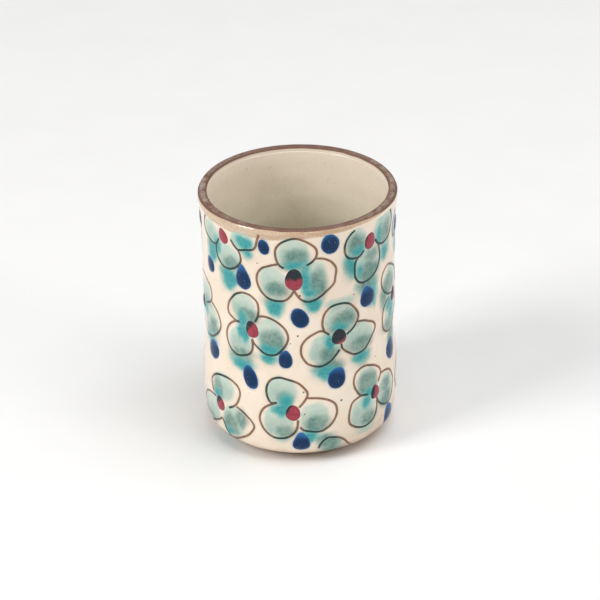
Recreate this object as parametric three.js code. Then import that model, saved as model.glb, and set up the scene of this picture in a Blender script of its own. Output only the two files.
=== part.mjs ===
// A straight-sided stoneware tumbler without a handle: a thrown clay body on a turned foot ring,
// a slip-and-glaze sleeve outside, a liner glaze inside, an iron-oxide band on the lip, and the
// raised enamel that is dabbed on last: red hearts of the flowers and cobalt dots between them.
// Millimetres, +Z up, origin on the axis at the foot's resting plane, azimuth 0 facing -Y.
import * as THREE from "three";

// ---- Driving dimensions -------------------------------------------------------------------
const HEIGHT = 100; // foot plane to the top of the lip
const GLAZE = 0.4; // thickness of each glaze coat
const GAP = 0.1; // clearance between two coats, which in the fired cup is none
const SEGMENTS = 60; // facets round the axis, a multiple of 4

// Outer glaze surface as [height, radius], from the wiped edge above the foot ring up to the lip's
// shoulder: a trimmed corner, a full belly, a shallow waist left by the thrower's fingers, and a
// lip that rolls out.
const WALL_PROFILE = [
  [2.8, 32.0],
  [4.3, 34.3],
  [6.0, 35.7],
  [7.8, 36.4],
  [10.5, 36.8],
  [18, 37.1],
  [29, 37.0],
  [35, 36.4],
  [42, 35.9],
  [54, 36.4],
  [72, 36.3],
  [86, 36.4],
  [93, 36.9],
  [97.4, 37.4],
  [98.7, 37.35],
];
// Inner glaze surface as [height, radius], from the mouth down to the start of the floor's curve.
const BORE_PROFILE = [
  [98.7, 33.7],
  [95, 33.3],
  [84, 32.9],
  [60, 32.6],
  [30, 32.6],
  [15, 32.6],
];
const FLOOR_TOP = 7; // height of the inner glaze on the floor
const FLOOR_CURVE = 8; // radius of the curve from the wall into the floor
const FLOOR_CURVE_STEPS = 5;

const FOOT_OUTER = 28.4; // outer radius of the ring that the cup stands on
const FOOT_INNER = 24.0;
const FOOT_RECESS = 2.2; // depth of the turned hollow inside the ring
const FOOT_BEVEL = 0.5;
const RECESS_SLOPE = 1.2; // how far the ring's inner flank leans in

const LIP_CHAMFER = 0.5; // softening of the lip's two edges
const BAND_SKIRT = 98.85; // height where the iron band ends on both sides of the lip

// ---- Painted enamel -----------------------------------------------------------------------
// Each dab is [azimuth in degrees, height, width, length, lean in degrees]. Azimuth grows to the
// right as the cup is seen, and a positive lean tips the dab's top to the left.
const RELIEF = 0.35; // how far a dab stands out of the glaze
const DAB_SIDES = 10;
const DAB_RINGS = 4;

// Hearts of the flowers: three staggered rows of seven, the first three of a row facing front.
const RED_HEARTS = [
  [-48.5, 92.0, 5.6, 7.4, 14],
  [-2.9, 79.8, 6.6, 8.8, 0],
  [46.0, 89.6, 5.6, 6.8, 0],
  [97.0, 84.6, 5.8, 7.4, 8],
  [148.5, 90.2, 5.6, 7.0, -6],
  [199.5, 82.4, 6.2, 8.0, 4],
  [259.0, 86.6, 5.6, 7.2, 0],

  [-28.9, 57.0, 5.3, 7.0, 10],
  [23.7, 54.4, 5.9, 6.4, 6],
  [75.7, 59.4, 5.4, 6.6, 0],
  [127.0, 55.8, 5.6, 7.0, -8],
  [178.0, 58.6, 5.6, 6.8, 6],
  [229.0, 54.0, 5.8, 6.6, 0],
  [276.5, 57.2, 5.2, 6.6, 6],

  [-55.4, 19.8, 5.2, 6.2, 16],
  [-4.5, 24.0, 5.3, 6.6, 0],
  [49.5, 25.6, 4.5, 5.7, 6],
  [101.5, 22.4, 5.2, 6.6, 0],
  [152.5, 26.0, 5.0, 6.2, -8],
  [204.5, 21.6, 5.4, 6.4, 6],
  [252.5, 27.6, 5.0, 6.2, 0],
];
// Cobalt dots in the ground between the flowers.
const COBALT_DABS = [
  [-20.2, 92.6, 4.2, 6.2, 6],
  [18.2, 93.6, 6.8, 8.4, 8],
  [83.0, 86.4, 5.4, 8.0, 0],
  [122.0, 90.6, 5.8, 7.6, 6],
  [173.5, 92.4, 5.4, 7.2, 0],
  [228.5, 92.0, 5.6, 7.4, -8],
  [277.0, 90.0, 4.6, 6.8, 0],

  [-63.8, 76.2, 5.2, 6.2, 10],
  [-34.5, 77.6, 6.0, 9.6, 12],
  [0.1, 63.8, 6.6, 8.0, 14],
  [43.6, 67.4, 6.6, 8.6, 4],
  [152.0, 70.4, 6.0, 8.0, 6],
  [201.5, 66.0, 6.2, 7.8, 0],
  [254.5, 70.8, 5.8, 7.6, -6],

  [-64.5, 40.2, 6.8, 7.6, 0],
  [-31.0, 36.6, 6.0, 9.2, 16],
  [-8.8, 46.4, 5.4, 7.8, 0],
  [21.9, 37.2, 7.0, 8.6, -14],
  [70.6, 37.2, 6.4, 8.0, 0],
  [101.5, 46.8, 5.6, 7.8, 8],
  [126.0, 37.0, 6.2, 8.2, 0],
  [179.0, 40.4, 6.4, 8.0, 10],
  [228.5, 37.4, 6.4, 8.2, -8],

  [-0.1, 12.4, 6.0, 7.0, 0],
  [65.5, 12.4, 6.4, 7.2, 10],
  [126.5, 13.4, 6.0, 6.8, 0],
  [178.5, 14.2, 5.8, 6.8, 0],
  [229.0, 13.2, 6.0, 6.6, 0],
];

// ---- Materials ----------------------------------------------------------------------------
const clay = new THREE.MeshStandardMaterial({ color: 0xb99a7c, roughness: 0.85, metalness: 0 });
const whiteGlaze = new THREE.MeshStandardMaterial({ color: 0xf2e6d6, roughness: 0.18, metalness: 0 });
const linerGlaze = new THREE.MeshStandardMaterial({ color: 0xcfc2a6, roughness: 0.22, metalness: 0 });
const ironWash = new THREE.MeshStandardMaterial({ color: 0x84604e, roughness: 0.45, metalness: 0 });
const cobalt = new THREE.MeshStandardMaterial({ color: 0x1f3f73, roughness: 0.15, metalness: 0 });
const redEnamel = new THREE.MeshStandardMaterial({ color: 0xa23c4c, roughness: 0.2, metalness: 0 });

// ---- Shapes -------------------------------------------------------------------------------
const point = (radius, height) => new THREE.Vector2(radius, height);
const profilePoints = (profile, inset) => profile.map(([height, radius]) => point(radius - inset, height));

// A solid of revolution about +Z. Its profile runs upwards on the outside and down on the inside.
function turned(name, profile, material) {
  const geometry = new THREE.LatheGeometry(profile, SEGMENTS);
  geometry.rotateX(Math.PI / 2);
  const mesh = new THREE.Mesh(geometry, material);
  mesh.name = name;
  return mesh;
}

// The curve from the bore's wall into the flat floor, offset outwards into the clay, without its
// first point. The flat's edge comes last.
function floorCurve(offset) {
  const wallRadius = BORE_PROFILE.at(-1)[1];
  const centre = point(wallRadius - FLOOR_CURVE, FLOOR_TOP + FLOOR_CURVE);
  const radius = FLOOR_CURVE + offset;
  return Array.from({ length: FLOOR_CURVE_STEPS }, (_, step) => {
    const angle = ((step + 1) / FLOOR_CURVE_STEPS) * (Math.PI / 2);
    return point(centre.x + radius * Math.cos(angle), centre.y - radius * Math.sin(angle));
  });
}

// Radius of the outer glaze at a height, along the same straight facets as the sleeve's.
function wallRadius(height) {
  const above = WALL_PROFILE.findIndex(([knot]) => knot >= height);
  if (above <= 0) return (above ? WALL_PROFILE.at(-1) : WALL_PROFILE[0])[1];
  const [lowHeight, lowRadius] = WALL_PROFILE[above - 1];
  const [highHeight, highRadius] = WALL_PROFILE[above];
  return THREE.MathUtils.mapLinear(height, lowHeight, highHeight, lowRadius, highRadius);
}

// The clay: foot ring, trimmed bevel, wall, lip, bore and floor, all one piece off the wheel.
function clayBody() {
  const coat = GLAZE + GAP;
  const outside = profilePoints(WALL_PROFILE, coat);
  const inside = profilePoints(BORE_PROFILE, -coat);
  const lipHeight = HEIGHT - coat;
  const profile = [
    point(0, FOOT_RECESS),
    point(FOOT_INNER - RECESS_SLOPE, FOOT_RECESS),
    point(FOOT_INNER, FOOT_BEVEL / 2),
    point(FOOT_INNER + FOOT_BEVEL, 0),
    point(FOOT_OUTER - FOOT_BEVEL, 0),
    point(FOOT_OUTER, FOOT_BEVEL),
    ...outside,
    point(outside.at(-1).x - LIP_CHAMFER, lipHeight),
    point(inside[0].x + LIP_CHAMFER, lipHeight),
    ...inside,
    ...floorCurve(coat),
    point(0, FLOOR_TOP - coat),
  ];
  return turned("clay_body", profile, clay);
}

// White slip under clear glaze, from the trimmed corner to just under the iron band.
function outsideGlaze() {
  const outer = profilePoints(WALL_PROFILE, 0);
  const inner = profilePoints(WALL_PROFILE, GLAZE).reverse();
  return turned("outside_glaze", [...outer, ...inner, outer[0].clone()], whiteGlaze);
}

// Grey-beige liner glaze: the bore's wall, the curve and the floor as one cup-shaped skin.
function insideGlaze() {
  const surface = [...profilePoints(BORE_PROFILE, 0), ...floorCurve(0)];
  const back = [...profilePoints(BORE_PROFILE, -GLAZE), ...floorCurve(GLAZE)].reverse();
  const profile = [point(0, FLOOR_TOP - GLAZE), ...back, ...surface, point(0, FLOOR_TOP)];
  return turned("inside_glaze", profile, linerGlaze);
}

// The iron-oxide band: a thin cap over the lip.
function lipBand() {
  const outerRadius = WALL_PROFILE.at(-1)[1];
  const innerRadius = BORE_PROFILE[0][1];
  const shoulder = HEIGHT - LIP_CHAMFER;
  const underside = HEIGHT - GLAZE;
  const profile = [
    point(outerRadius, BAND_SKIRT),
    point(outerRadius, shoulder),
    point(outerRadius - LIP_CHAMFER, HEIGHT),
    point(innerRadius + LIP_CHAMFER, HEIGHT),
    point(innerRadius, shoulder),
    point(innerRadius, BAND_SKIRT),
    point(innerRadius + GLAZE, BAND_SKIRT),
    point(innerRadius + GLAZE + LIP_CHAMFER, underside),
    point(outerRadius - GLAZE - LIP_CHAMFER, underside),
    point(outerRadius - GLAZE, BAND_SKIRT),
    point(outerRadius, BAND_SKIRT),
  ];
  return turned("lip_band", profile, ironWash);
}

// One dab of enamel: a low dome with a flat back, bent round the wall that it sits on.
function enamelDab(name, [azimuth, height, width, length, lean], material) {
  const geometry = new THREE.SphereGeometry(1, DAB_SIDES, DAB_RINGS);
  const position = geometry.getAttribute("position");
  const tip = THREE.MathUtils.degToRad(lean);
  const middle = THREE.MathUtils.degToRad(azimuth);
  const onWall = new THREE.Vector2();
  for (let i = 0; i < position.count; i++) {
    onWall.set((position.getX(i) * width) / 2, (-position.getZ(i) * length) / 2);
    onWall.rotateAround(new THREE.Vector2(), tip);
    const z = height + onWall.y;
    const angle = middle + onWall.x / wallRadius(height);
    const radius = wallRadius(z) + GAP + RELIEF * Math.max(position.getY(i), 0);
    position.setXYZ(i, radius * Math.sin(angle), -radius * Math.cos(angle), z);
  }
  const mesh = new THREE.Mesh(geometry, material);
  mesh.name = name;
  return mesh;
}

const numbered = (stem, index) => `${stem}_${String(index + 1).padStart(2, "0")}`;

// ---- Assembly -----------------------------------------------------------------------------
const tumbler = new THREE.Group();
tumbler.add(clayBody(), outsideGlaze(), insideGlaze(), lipBand());
RED_HEARTS.forEach((dab, index) => tumbler.add(enamelDab(numbered("red_heart", index), dab, redEnamel)));
COBALT_DABS.forEach((dab, index) => tumbler.add(enamelDab(numbered("cobalt_dab", index), dab, cobalt)));

export default tumbler;
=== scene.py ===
# A straight-sided stoneware tumbler without a handle: thrown, slipped, painted and glazed by hand.
# Metres, +Z up, the cup's axis at the origin and its foot ring on the table at Z = 0.
# Painted places are given as (degrees round the wall, millimetres up), with 0 degrees facing -Y
# and growing to the right as the cup is seen. Widths, lengths and leans are in mm and degrees.
import math

import bmesh
import bpy
import numpy as np
from mathutils import Matrix, Vector
from mathutils.kdtree import KDTree


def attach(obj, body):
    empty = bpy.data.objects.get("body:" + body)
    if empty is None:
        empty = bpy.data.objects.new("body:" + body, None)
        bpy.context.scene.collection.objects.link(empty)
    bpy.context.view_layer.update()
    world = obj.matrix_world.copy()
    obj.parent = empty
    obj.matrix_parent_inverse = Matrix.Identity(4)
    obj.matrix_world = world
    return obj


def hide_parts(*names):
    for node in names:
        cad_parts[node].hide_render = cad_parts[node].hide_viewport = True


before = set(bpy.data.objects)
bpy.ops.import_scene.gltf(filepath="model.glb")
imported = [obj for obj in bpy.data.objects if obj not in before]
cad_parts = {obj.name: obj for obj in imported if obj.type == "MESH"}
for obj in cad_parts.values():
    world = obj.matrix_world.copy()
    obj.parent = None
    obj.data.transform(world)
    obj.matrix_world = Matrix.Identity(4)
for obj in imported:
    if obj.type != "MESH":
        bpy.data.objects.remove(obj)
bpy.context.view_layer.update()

MM = 0.001
MATHS, VECTORS = "ShaderNodeMath", "ShaderNodeVectorMath"

# ---- The potter's sizes, in millimetres ----------------------------------------------------
SLEEVE = 0.4             # thickness of the slip and its clear glaze
CLAY_BEHIND = SLEEVE + 0.1   # how far the clay's face lies behind the glaze's
FLOOR_TOP = 7.0
FLOOR_CURVE = 8.0
LIP_CREST = 35.5         # radius of the top of the lip
GIRTH_RADIUS = 36.4      # the flat painted pattern is wrapped at this radius
FACETS_ROUND = 440
LINE_STEP = 0.42         # between the points of a brush line
PAINT_LOW, PAINT_HIGH = 3.6, 97.7   # the brush stays between these heights
# Where the pattern is dropped on the wall from, and how far it may fall, in metres.
DROP_RADIUS, DROP_REACH = 0.06, 0.1
# What the potter's hands leave on every glazed wall, in metres.
GLAZED_HAND = {"Oval": 0.00004, "Finger ridge": 0.00003, "Ridge spacing": 0.0085,
               "Unevenness": 0.00014, "Seed": 2.0}

# Glazed outside as (height, radius): trimmed corner, belly, finger-pressed waist, rolled lip.
WALL_KNOTS = [
    (2.8, 32.0), (4.3, 34.3), (6.0, 35.7), (7.8, 36.4), (10.5, 36.8), (18, 37.1), (29, 37.0),
    (35, 36.4), (42, 35.9), (54, 36.4), (72, 36.3), (86, 36.4), (93, 36.8), (96.0, 37.15),
    (97.4, 37.25), (98.6, 37.0),
]
# Glazed inside as (height, radius), from where the floor's curve ends up to the mouth.
BORE_KNOTS = [(15, 32.6), (30, 32.6), (60, 32.6), (84, 32.9), (95, 33.3), (99.0, 33.75)]
# The iron band over the lip as (radius, height), from outside to inside.
LIP_OVER = [
    (37.19, 97.3), (37.31, 97.9), (37.2, 98.5), (36.96, 99.05), (36.7, 99.5), (36.4, 99.8),
    (36.0, 99.94), (35.5, 99.97), (35.0, 99.97), (34.55, 99.9), (34.2, 99.7), (33.92, 99.35),
    (33.74, 98.9), (33.655, 98.4), (33.69, 97.7),
]
LIP_UNDER = [(34.0, 97.75), (34.6, 98.9), (35.5, 99.3), (36.3, 99.0), (36.9, 97.35)]
# Bare clay as (radius, height), from the middle underneath, round the foot ring to the corner.
FOOT_TURNING = [
    (0, 2.2), (8, 2.2), (16, 2.15), (21.6, 2.2), (22.5, 2.0), (23.1, 1.5), (23.7, 0.55),
    (24.1, 0.12), (24.6, 0.0), (26.2, 0.0), (27.7, 0.0), (28.2, 0.12), (28.5, 0.5), (29.4, 1.2),
    (30.8, 2.1), (31.5, 2.7),
]

# ---- The painting ---------------------------------------------------------------------------
# One flower: its raised heart as (place, height, across, along, lean, dark side, dark share);
# its petals' brush lines; and its washes as (place, height, across, along, lean). "pale" is the
# thin first wash with its runs, "pooled" where it gathered, "turquoise" where copper is strong.
FLOWERS = {
    "high_left": {
        "heart": (-48.5, 92.0, 4.9, 6.4, 12, 90, 0.0),
        "lines": [
            [(-66, 96.3), (-69, 94), (-70.5, 91.2), (-68.5, 88.6), (-64, 87), (-60, 86.4),
             (-56, 87), (-54.2, 88.4), (-52.8, 89.9)],
            [(-55.8, 87.2), (-56.2, 84.5), (-55, 82), (-51.5, 79.9), (-47.5, 79), (-43, 79.6),
             (-38.6, 81.4), (-36, 83.6), (-35.4, 85.6), (-36.2, 87.6), (-37.6, 88.9)],
            [(-42.3, 92), (-39.8, 89.9), (-36.8, 88.8), (-32, 89.6), (-27.5, 90.3),
             (-25.4, 91.7), (-24, 94.5), (-22.8, 97), (-22.2, 98.2)],
        ],
        "pale": [(-61, 91, 9.5, 9, 0), (-46.5, 84, 12.5, 9, 0), (-34, 92.6, 9, 8, 0),
                 (-61.5, 82.5, 7.6, 10, 0), (-45.5, 75.8, 8.6, 11, 0), (-30.3, 88, 4.2, 4, 0)],
        "pooled": [(-43.5, 82, 8, 5, 0), (-60, 85, 6.5, 4, 0), (-46, 77.3, 7, 4, 0)],
        "turquoise": [(-61, 82, 5.4, 7, 10), (-44.5, 74.6, 6.5, 7, -12), (-32, 92.6, 6, 5.6, 0),
                      (-54.5, 86.5, 3, 6, 0), (-30.3, 88, 3, 2.6, 0)],
    },
    "high_middle": {
        "heart": (-2.9, 79.8, 6.6, 8.9, 0, 95, 0.47),
        "lines": [
            [(-8.7, 84.4), (-11.3, 85.6), (-13.2, 88.5), (-13.4, 91.5), (-11.5, 94),
             (-7.5, 96), (-2, 97.1), (3, 96.1), (7, 94.4), (10, 92), (10.3, 89.6), (8, 87.1),
             (4.5, 85.6)],
            [(-12, 86), (-17, 84.9), (-21.5, 83.6), (-24.6, 80.8), (-24.8, 77.2),
             (-22, 73.4), (-17.5, 71.2), (-12.5, 70.6), (-8, 71.2), (-5, 73), (-3, 75.2)],
            [(9.8, 88.2), (14.5, 87.8), (19, 86), (21.8, 83), (21.5, 79.5), (20.2, 76.6),
             (15, 73.6), (9.5, 71.2), (4.5, 70.5), (0.8, 71.7), (-1.6, 73.7), (-3, 75.6)],
        ],
        "pale": [(-3.5, 90.4, 10.6, 12, 0), (-15.5, 78, 8.8, 12, 10), (8.4, 79.3, 9.4, 14.5, 0),
                 (-14.8, 68, 6.6, 7.4, 0), (7.4, 69, 6, 6, 0)],
        "pooled": [(-1.5, 88.4, 9, 7, 0), (-12.5, 75.2, 8, 6, 0), (11, 77, 7, 11.5, 0),
                   (-3, 85.5, 8, 4, 0), (-14.8, 70, 6, 3, 0), (7.8, 70.6, 5, 3, 0)],
        "turquoise": [(4, 79, 3.4, 12.5, 0), (-14.2, 67.2, 5, 6, 0), (8.4, 69, 5, 5, 0),
                      (-3, 85.4, 6, 2.4, 0), (6, 74, 4, 4, 0)],
    },
    "high_right": {
        "heart": (45.8, 89.8, 5.4, 6.9, 0, 180, 0.12),
        "lines": [
            [(33.6, 96.8), (31, 95.8), (28.5, 93.6), (27.3, 91), (27.6, 88.3), (29.8, 86),
             (33.2, 85.1), (36.8, 84.9), (39.2, 85.7), (40.9, 86.9)],
            [(37, 84.9), (35.2, 83.4), (34.3, 80.5), (34.7, 77), (36.8, 74.8), (40.2, 73.6),
             (45, 73.8), (50, 75), (53.2, 77), (55.2, 79.8), (55.3, 82.8), (53.8, 86),
             (52, 87.8), (50.3, 89.2)],
            [(50.3, 89.2), (53, 87), (56, 85.9), (60, 85.4), (64, 85.9), (67.2, 87.3),
             (69.3, 90), (69.3, 92.6), (67.6, 95.4), (65.6, 97.6), (64.6, 98.4)],
        ],
        "pale": [(35, 91, 9.2, 12, 0), (44.5, 80, 14, 13.4, 0), (58.8, 92, 12.6, 13.6, 0),
                 (31, 82, 5.4, 10, 14), (61, 82.5, 7.6, 9, 0), (43.5, 72, 10, 7, 0),
                 (47.8, 67.5, 6.6, 10, 0)],
        "pooled": [(36, 89, 7.5, 8, 0), (45, 77.5, 11, 7.5, 0), (48, 83.5, 6, 5, 0),
                   (60, 88.6, 9, 6.5, 0), (44.5, 72.2, 9, 5, 0), (31, 83, 4, 6, 14),
                   (61.3, 92.6, 5.2, 4.4, 0), (34, 92, 5, 5, 0)],
        "turquoise": [(31.5, 82.5, 3, 7, 14), (37.5, 79, 2.4, 4.5, 0), (61, 81.5, 4.6, 5.5, 0),
                      (54, 91, 2.6, 7, 0), (49, 67, 2, 7, 0), (37, 87.5, 4, 3, 0)],
    },
    "middle_edge_left": {
        "heart": (-80, 55.6, 4.8, 5.6, 0, 90, 0.95),
        "lines": [
            [(-86, 67), (-80, 68.2), (-75, 68), (-70, 67.3), (-66, 66.3), (-63.6, 64.2),
             (-63.4, 62), (-65.2, 60), (-69, 58.4), (-73.2, 57)],
            [(-65, 60.3), (-61, 59.5), (-57.4, 58), (-55, 56), (-53.8, 53.4), (-55, 51),
             (-58, 48.5), (-62, 46.3), (-66, 44.6), (-71, 43.3), (-76, 43), (-80, 44.5),
             (-82.5, 47.5), (-83, 51)],
        ],
        "pale": [(-74, 61.5, 11, 9, 0), (-66.5, 52, 12.5, 13.5, 0), (-68, 43.2, 9, 6, 0)],
        "pooled": [(-62.5, 50, 6, 7, 0), (-73, 59, 7, 3, 0), (-68, 46.5, 8, 5, 0)],
        "turquoise": [(-74, 54.5, 4.5, 6, 0), (-68, 43.4, 7, 3, 0)],
    },
    "middle_left": {
        "heart": (-28.9, 56.9, 5.3, 7.1, 8, 130, 0.34),
        "lines": [
            [(-26.9, 60.3), (-25.2, 62.6), (-24.4, 65.6), (-25, 68.4), (-27.5, 70.2),
             (-31, 71.3), (-35, 71.3), (-39, 70.2), (-42.2, 68.4), (-45, 65.8), (-46.4, 62.8),
             (-45.8, 60.6), (-43.5, 59.5), (-40.5, 58.6), (-37.6, 58.5)],
            [(-38, 58.6), (-41, 58.1), (-45, 56.1), (-47.6, 53.4), (-48.5, 50.4),
             (-48, 47.6), (-46, 45.3), (-43, 44), (-40, 43.6), (-36, 44.3), (-32, 45.5),
             (-30, 47), (-28.9, 49.6), (-29.1, 52.8)],
            [(-24.9, 63), (-20.5, 63.4), (-16, 62.7), (-12, 61.2), (-8.6, 59), (-7, 56.5),
             (-7, 54.3), (-8.5, 51.9), (-11, 49.6), (-14, 47.8), (-18, 47.1), (-21.5, 47.5),
             (-25, 49.2), (-27.8, 51), (-29, 53)],
        ],
        "pale": [(-35, 65.5, 10, 10.5, 0), (-38, 50.5, 9.6, 11.4, -8), (-17.6, 55, 9.6, 14, 0),
                 (-18.8, 45.8, 5, 4.6, 0), (-38, 42, 9.5, 7, 0)],
        "pooled": [(-32, 61.8, 9, 6.4, 0), (-16.3, 52.8, 9, 10, 0), (-37, 45.6, 8, 3.5, 0),
                   (-38, 42.8, 9, 4, 0)],
        "turquoise": [(-35, 54.6, 4.6, 8.4, 6), (-35.4, 59.5, 3.6, 5, 0), (-19, 49, 7, 4, 0),
                      (-18.8, 45.4, 5.6, 4, 0), (-37, 40.6, 8, 3.4, 0)],
    },
    "middle_right": {
        "heart": (23.6, 54.1, 5.9, 6.6, 6, 105, 0.8),
        "lines": [
            [(17.4, 55.7), (15, 57), (12, 57.8), (8, 56.8), (4, 55), (1.3, 52.6), (0.5, 50),
             (1.2, 47.2), (4, 44.3), (8, 42.9), (12.5, 42.5), (16.5, 43.4), (20, 45),
             (22.5, 47), (24, 48.3)],
            [(14.3, 57.7), (13.3, 60), (13.7, 63), (15.5, 65.5), (18.5, 67.2), (22.5, 67.9),
             (27, 67.7), (31, 66.6), (34.2, 64.3), (36.3, 61.8), (36.4, 59.8), (35, 57.8),
             (32.5, 56), (30, 54.9), (28.4, 54.3)],
            [(35.8, 58.3), (41, 57.5), (45.5, 56.2), (49, 54.8), (50.7, 53), (50.1, 51),
             (48, 48.8), (45.3, 46.6), (42.5, 45), (39, 44.3), (36, 44.2), (33, 44.7),
             (30, 46.1), (27.2, 47.6), (25.6, 49), (25.1, 50.8)],
        ],
        "pale": [(24.5, 61.3, 11.5, 11, 0), (15, 49.2, 11.5, 12, 0), (37.2, 51.4, 13, 11.5, 0),
                 (24.5, 68, 9, 4, 0), (16.5, 40, 10.5, 7, 0), (39.5, 42, 7.5, 6.5, 0)],
        "pooled": [(27, 60.6, 9.5, 7, 0), (39, 47.8, 10.5, 6.5, 0), (17, 42, 10.5, 5, 0),
                   (24, 57.5, 9, 3.4, 0), (17, 47.5, 7, 6, 0), (39.4, 43.2, 6.5, 3.4, 0)],
        "turquoise": [(18.4, 51.8, 4.4, 5.6, 0), (24.4, 58.2, 4, 2.6, 0),
                      (16, 39.4, 7.5, 4.4, 0), (39.6, 41.6, 6, 3.4, 0)],
    },
    "middle_edge_right": {
        "heart": (75.5, 59, 5.2, 6.4, 0, 160, 0.3),
        "lines": [
            [(72.5, 60.6), (68, 61.2), (63.5, 62.8), (59.8, 65), (57.6, 67.6), (57.6, 70.3),
             (60.2, 73), (65.5, 74.2), (71, 72.9), (76, 71), (80.5, 68.8), (83.5, 65.8),
             (83, 62.5)],
            [(66.8, 60.2), (62.8, 59.1), (60, 57.2), (58.6, 54.2), (59, 50.8), (61.2, 47.8),
             (65.2, 45.8), (70, 44.8), (76, 45.2), (81, 47.4), (84, 51), (83, 55.5)],
            [(84, 62), (88, 62.8), (93, 61.6), (96.5, 59), (97, 55.5), (94.5, 52), (90, 49.8),
             (86, 50.2), (82.5, 53)],
        ],
        "pale": [(69.5, 67, 12.5, 11.5, 0), (71.5, 52, 12.5, 12, 0), (60.5, 61.5, 5, 6, 0),
                 (74, 41, 8, 9, 0), (89, 56, 8.5, 9, 0)],
        "pooled": [(67, 66, 10, 8, 0), (70, 48.6, 11, 5.5, 0), (73, 42, 7, 6, 0),
                   (59.5, 62, 4, 7, 0), (90, 54, 6, 5, 0)],
        "turquoise": [(67.5, 57.4, 6.5, 4, 20), (71, 54, 4.5, 6, 0), (87, 52, 4, 3, 0)],
    },
    "low_left": {
        "heart": (-55.5, 18.9, 5.5, 6.1, 10, 125, 0.42),
        "lines": [
            [(-47, 19.3), (-43.5, 20.8), (-40.8, 22.4), (-38.9, 25), (-37.9, 28),
             (-39.6, 30.2), (-43.5, 31.5), (-48, 31.9), (-53.5, 31.6), (-58.5, 30.6),
             (-62.5, 29), (-65, 26.8), (-64.6, 24.4), (-62.8, 22)],
            [(-60.5, 20.6), (-66, 20.4), (-70.5, 19.5), (-75.5, 17.6), (-79.5, 14.5),
             (-81.5, 11), (-80.5, 8), (-77, 5.8), (-73.5, 5.2), (-70, 6.4), (-66, 8),
             (-61.5, 9.5), (-57.5, 11), (-54.2, 12.8)],
            [(-40.8, 21.4), (-36, 20.2), (-31.8, 18.2), (-29, 16.1), (-28.6, 14.4),
             (-31, 11.9), (-34.6, 9.6), (-39.5, 7.6), (-44, 6.2), (-47.5, 6), (-50.2, 7.6),
             (-51.3, 9.4), (-52.4, 11.4), (-54, 12.8)],
        ],
        "pale": [(-52.5, 27, 11, 10.4, 0), (-67.5, 14, 13.5, 10, 10),
                 (-44, 14, 10.5, 12.5, -12)],
        "pooled": [(-57.8, 24.5, 6, 8.4, 0), (-46, 12.2, 7.5, 9.4, 0), (-70, 9.5, 10, 5, 0),
                   (-37.6, 16.6, 5, 7, 0)],
        "turquoise": [(-48, 8.8, 3, 2.2, 0), (-58.5, 22.6, 3.4, 3, 0)],
    },
    "low_middle": {
        "heart": (-4.6, 23.6, 5.4, 6.9, 0, 150, 0.2),
        "lines": [
            [(-14, 27.5), (-17.3, 27.3), (-19, 28.6), (-20.4, 31.5), (-19.9, 34.4),
             (-17.3, 36.9), (-13, 38), (-9, 37.7), (-5, 37), (-1, 35.8), (2.4, 33.7),
             (4, 31.8), (3.5, 30.2), (1.2, 27.8), (-1, 26)],
            [(-14.5, 27.5), (-19, 26), (-22.7, 23.8), (-24.6, 20.5), (-23.7, 17),
             (-21, 14.3), (-17, 12.4), (-12.3, 12), (-8, 12.7), (-4, 14.8), (-2.1, 17.5),
             (-1.7, 20.5)],
            [(3.6, 29.9), (9, 29.6), (14, 28.8), (18, 27.5), (20.7, 25.5), (21.4, 22.5),
             (20, 19.6), (17, 17), (13, 15.2), (9.5, 14.9), (5, 15.3), (1.5, 15.9),
             (-0.7, 17.3)],
        ],
        "pale": [(-11.8, 32.5, 10.5, 11, 0), (-13.5, 19, 10, 11.5, 0), (7.8, 21.5, 10, 11.5, 0),
                 (4.5, 13, 5.5, 5, 0), (-11, 11.8, 4, 2.2, 0)],
        "pooled": [(-9.4, 15, 7, 5.4, 0), (8.8, 18.2, 8.4, 7, 0), (-9.8, 29.4, 6, 6, 0)],
        "turquoise": [(-10, 27.8, 3.6, 6, -20), (-11.8, 24.6, 6.4, 4.4, 0),
                      (5.4, 13, 4.4, 4, 0)],
    },
    "low_right": {
        "heart": (49.4, 24.7, 4.9, 6.0, 4, 165, 0.38),
        "lines": [
            [(43, 25.3), (40, 25.8), (37.4, 26.4), (35, 28.4), (33.3, 31), (33.2, 33.6),
             (34.9, 36), (38.2, 37.3), (42, 37.6), (47, 36.7), (51.5, 35.3), (54.5, 33.6),
             (55.5, 31.8), (54.8, 30.2), (52.6, 28.2)],
            [(55.2, 30.9), (60, 30.7), (65, 29.6), (67.8, 28), (69.8, 25.8), (71.5, 23.5),
             (71, 20), (69, 17), (66.3, 15.8), (63, 15.5), (59, 16.2), (55.4, 17.6),
             (52.6, 19.3), (51.2, 21), (50.7, 22.2)],
            [(43, 25.2), (39.3, 26), (35.3, 25.7), (31.7, 24.5), (30, 22), (29.1, 18.5),
             (29.8, 15.5), (32.5, 13.8), (36.5, 12.4), (41, 11.8), (45.2, 12.3),
             (48.5, 13.6), (50.4, 16), (51, 18.5), (50.8, 20.6)],
        ],
        "pale": [(43.5, 31, 9.5, 11, 0), (39.5, 18.5, 11, 12, 0), (60.5, 22.5, 10.5, 12.5, 0),
                 (42, 10.8, 6.5, 3, 0)],
        "pooled": [(43.5, 30.2, 9.4, 9, 0), (43.8, 15.2, 8, 5.6, 0), (61.2, 18.6, 8.4, 6, 0),
                   (60.3, 24.6, 6, 5.2, 0)],
        "turquoise": [(43.4, 26, 4, 3, 0), (42.2, 22.2, 4.4, 5.4, 0)],
    },
    "base_right": {
        "lines": [[(10.3, 6.9), (11, 8.6), (13.2, 10.6), (16.3, 11.7), (20, 11.3), (24, 10.3),
                   (27.2, 8.4), (29.6, 6.4), (33.5, 4.6), (38, 3.4)]],
        "pale": [(17, 8.5, 7.5, 6, 0), (12.5, 11.5, 5.5, 5, 0)],
        "pooled": [(19, 5.4, 9, 5, 0), (17.5, 8.6, 7.6, 6, 0), (14.6, 12, 5, 3, 0)],
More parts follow.
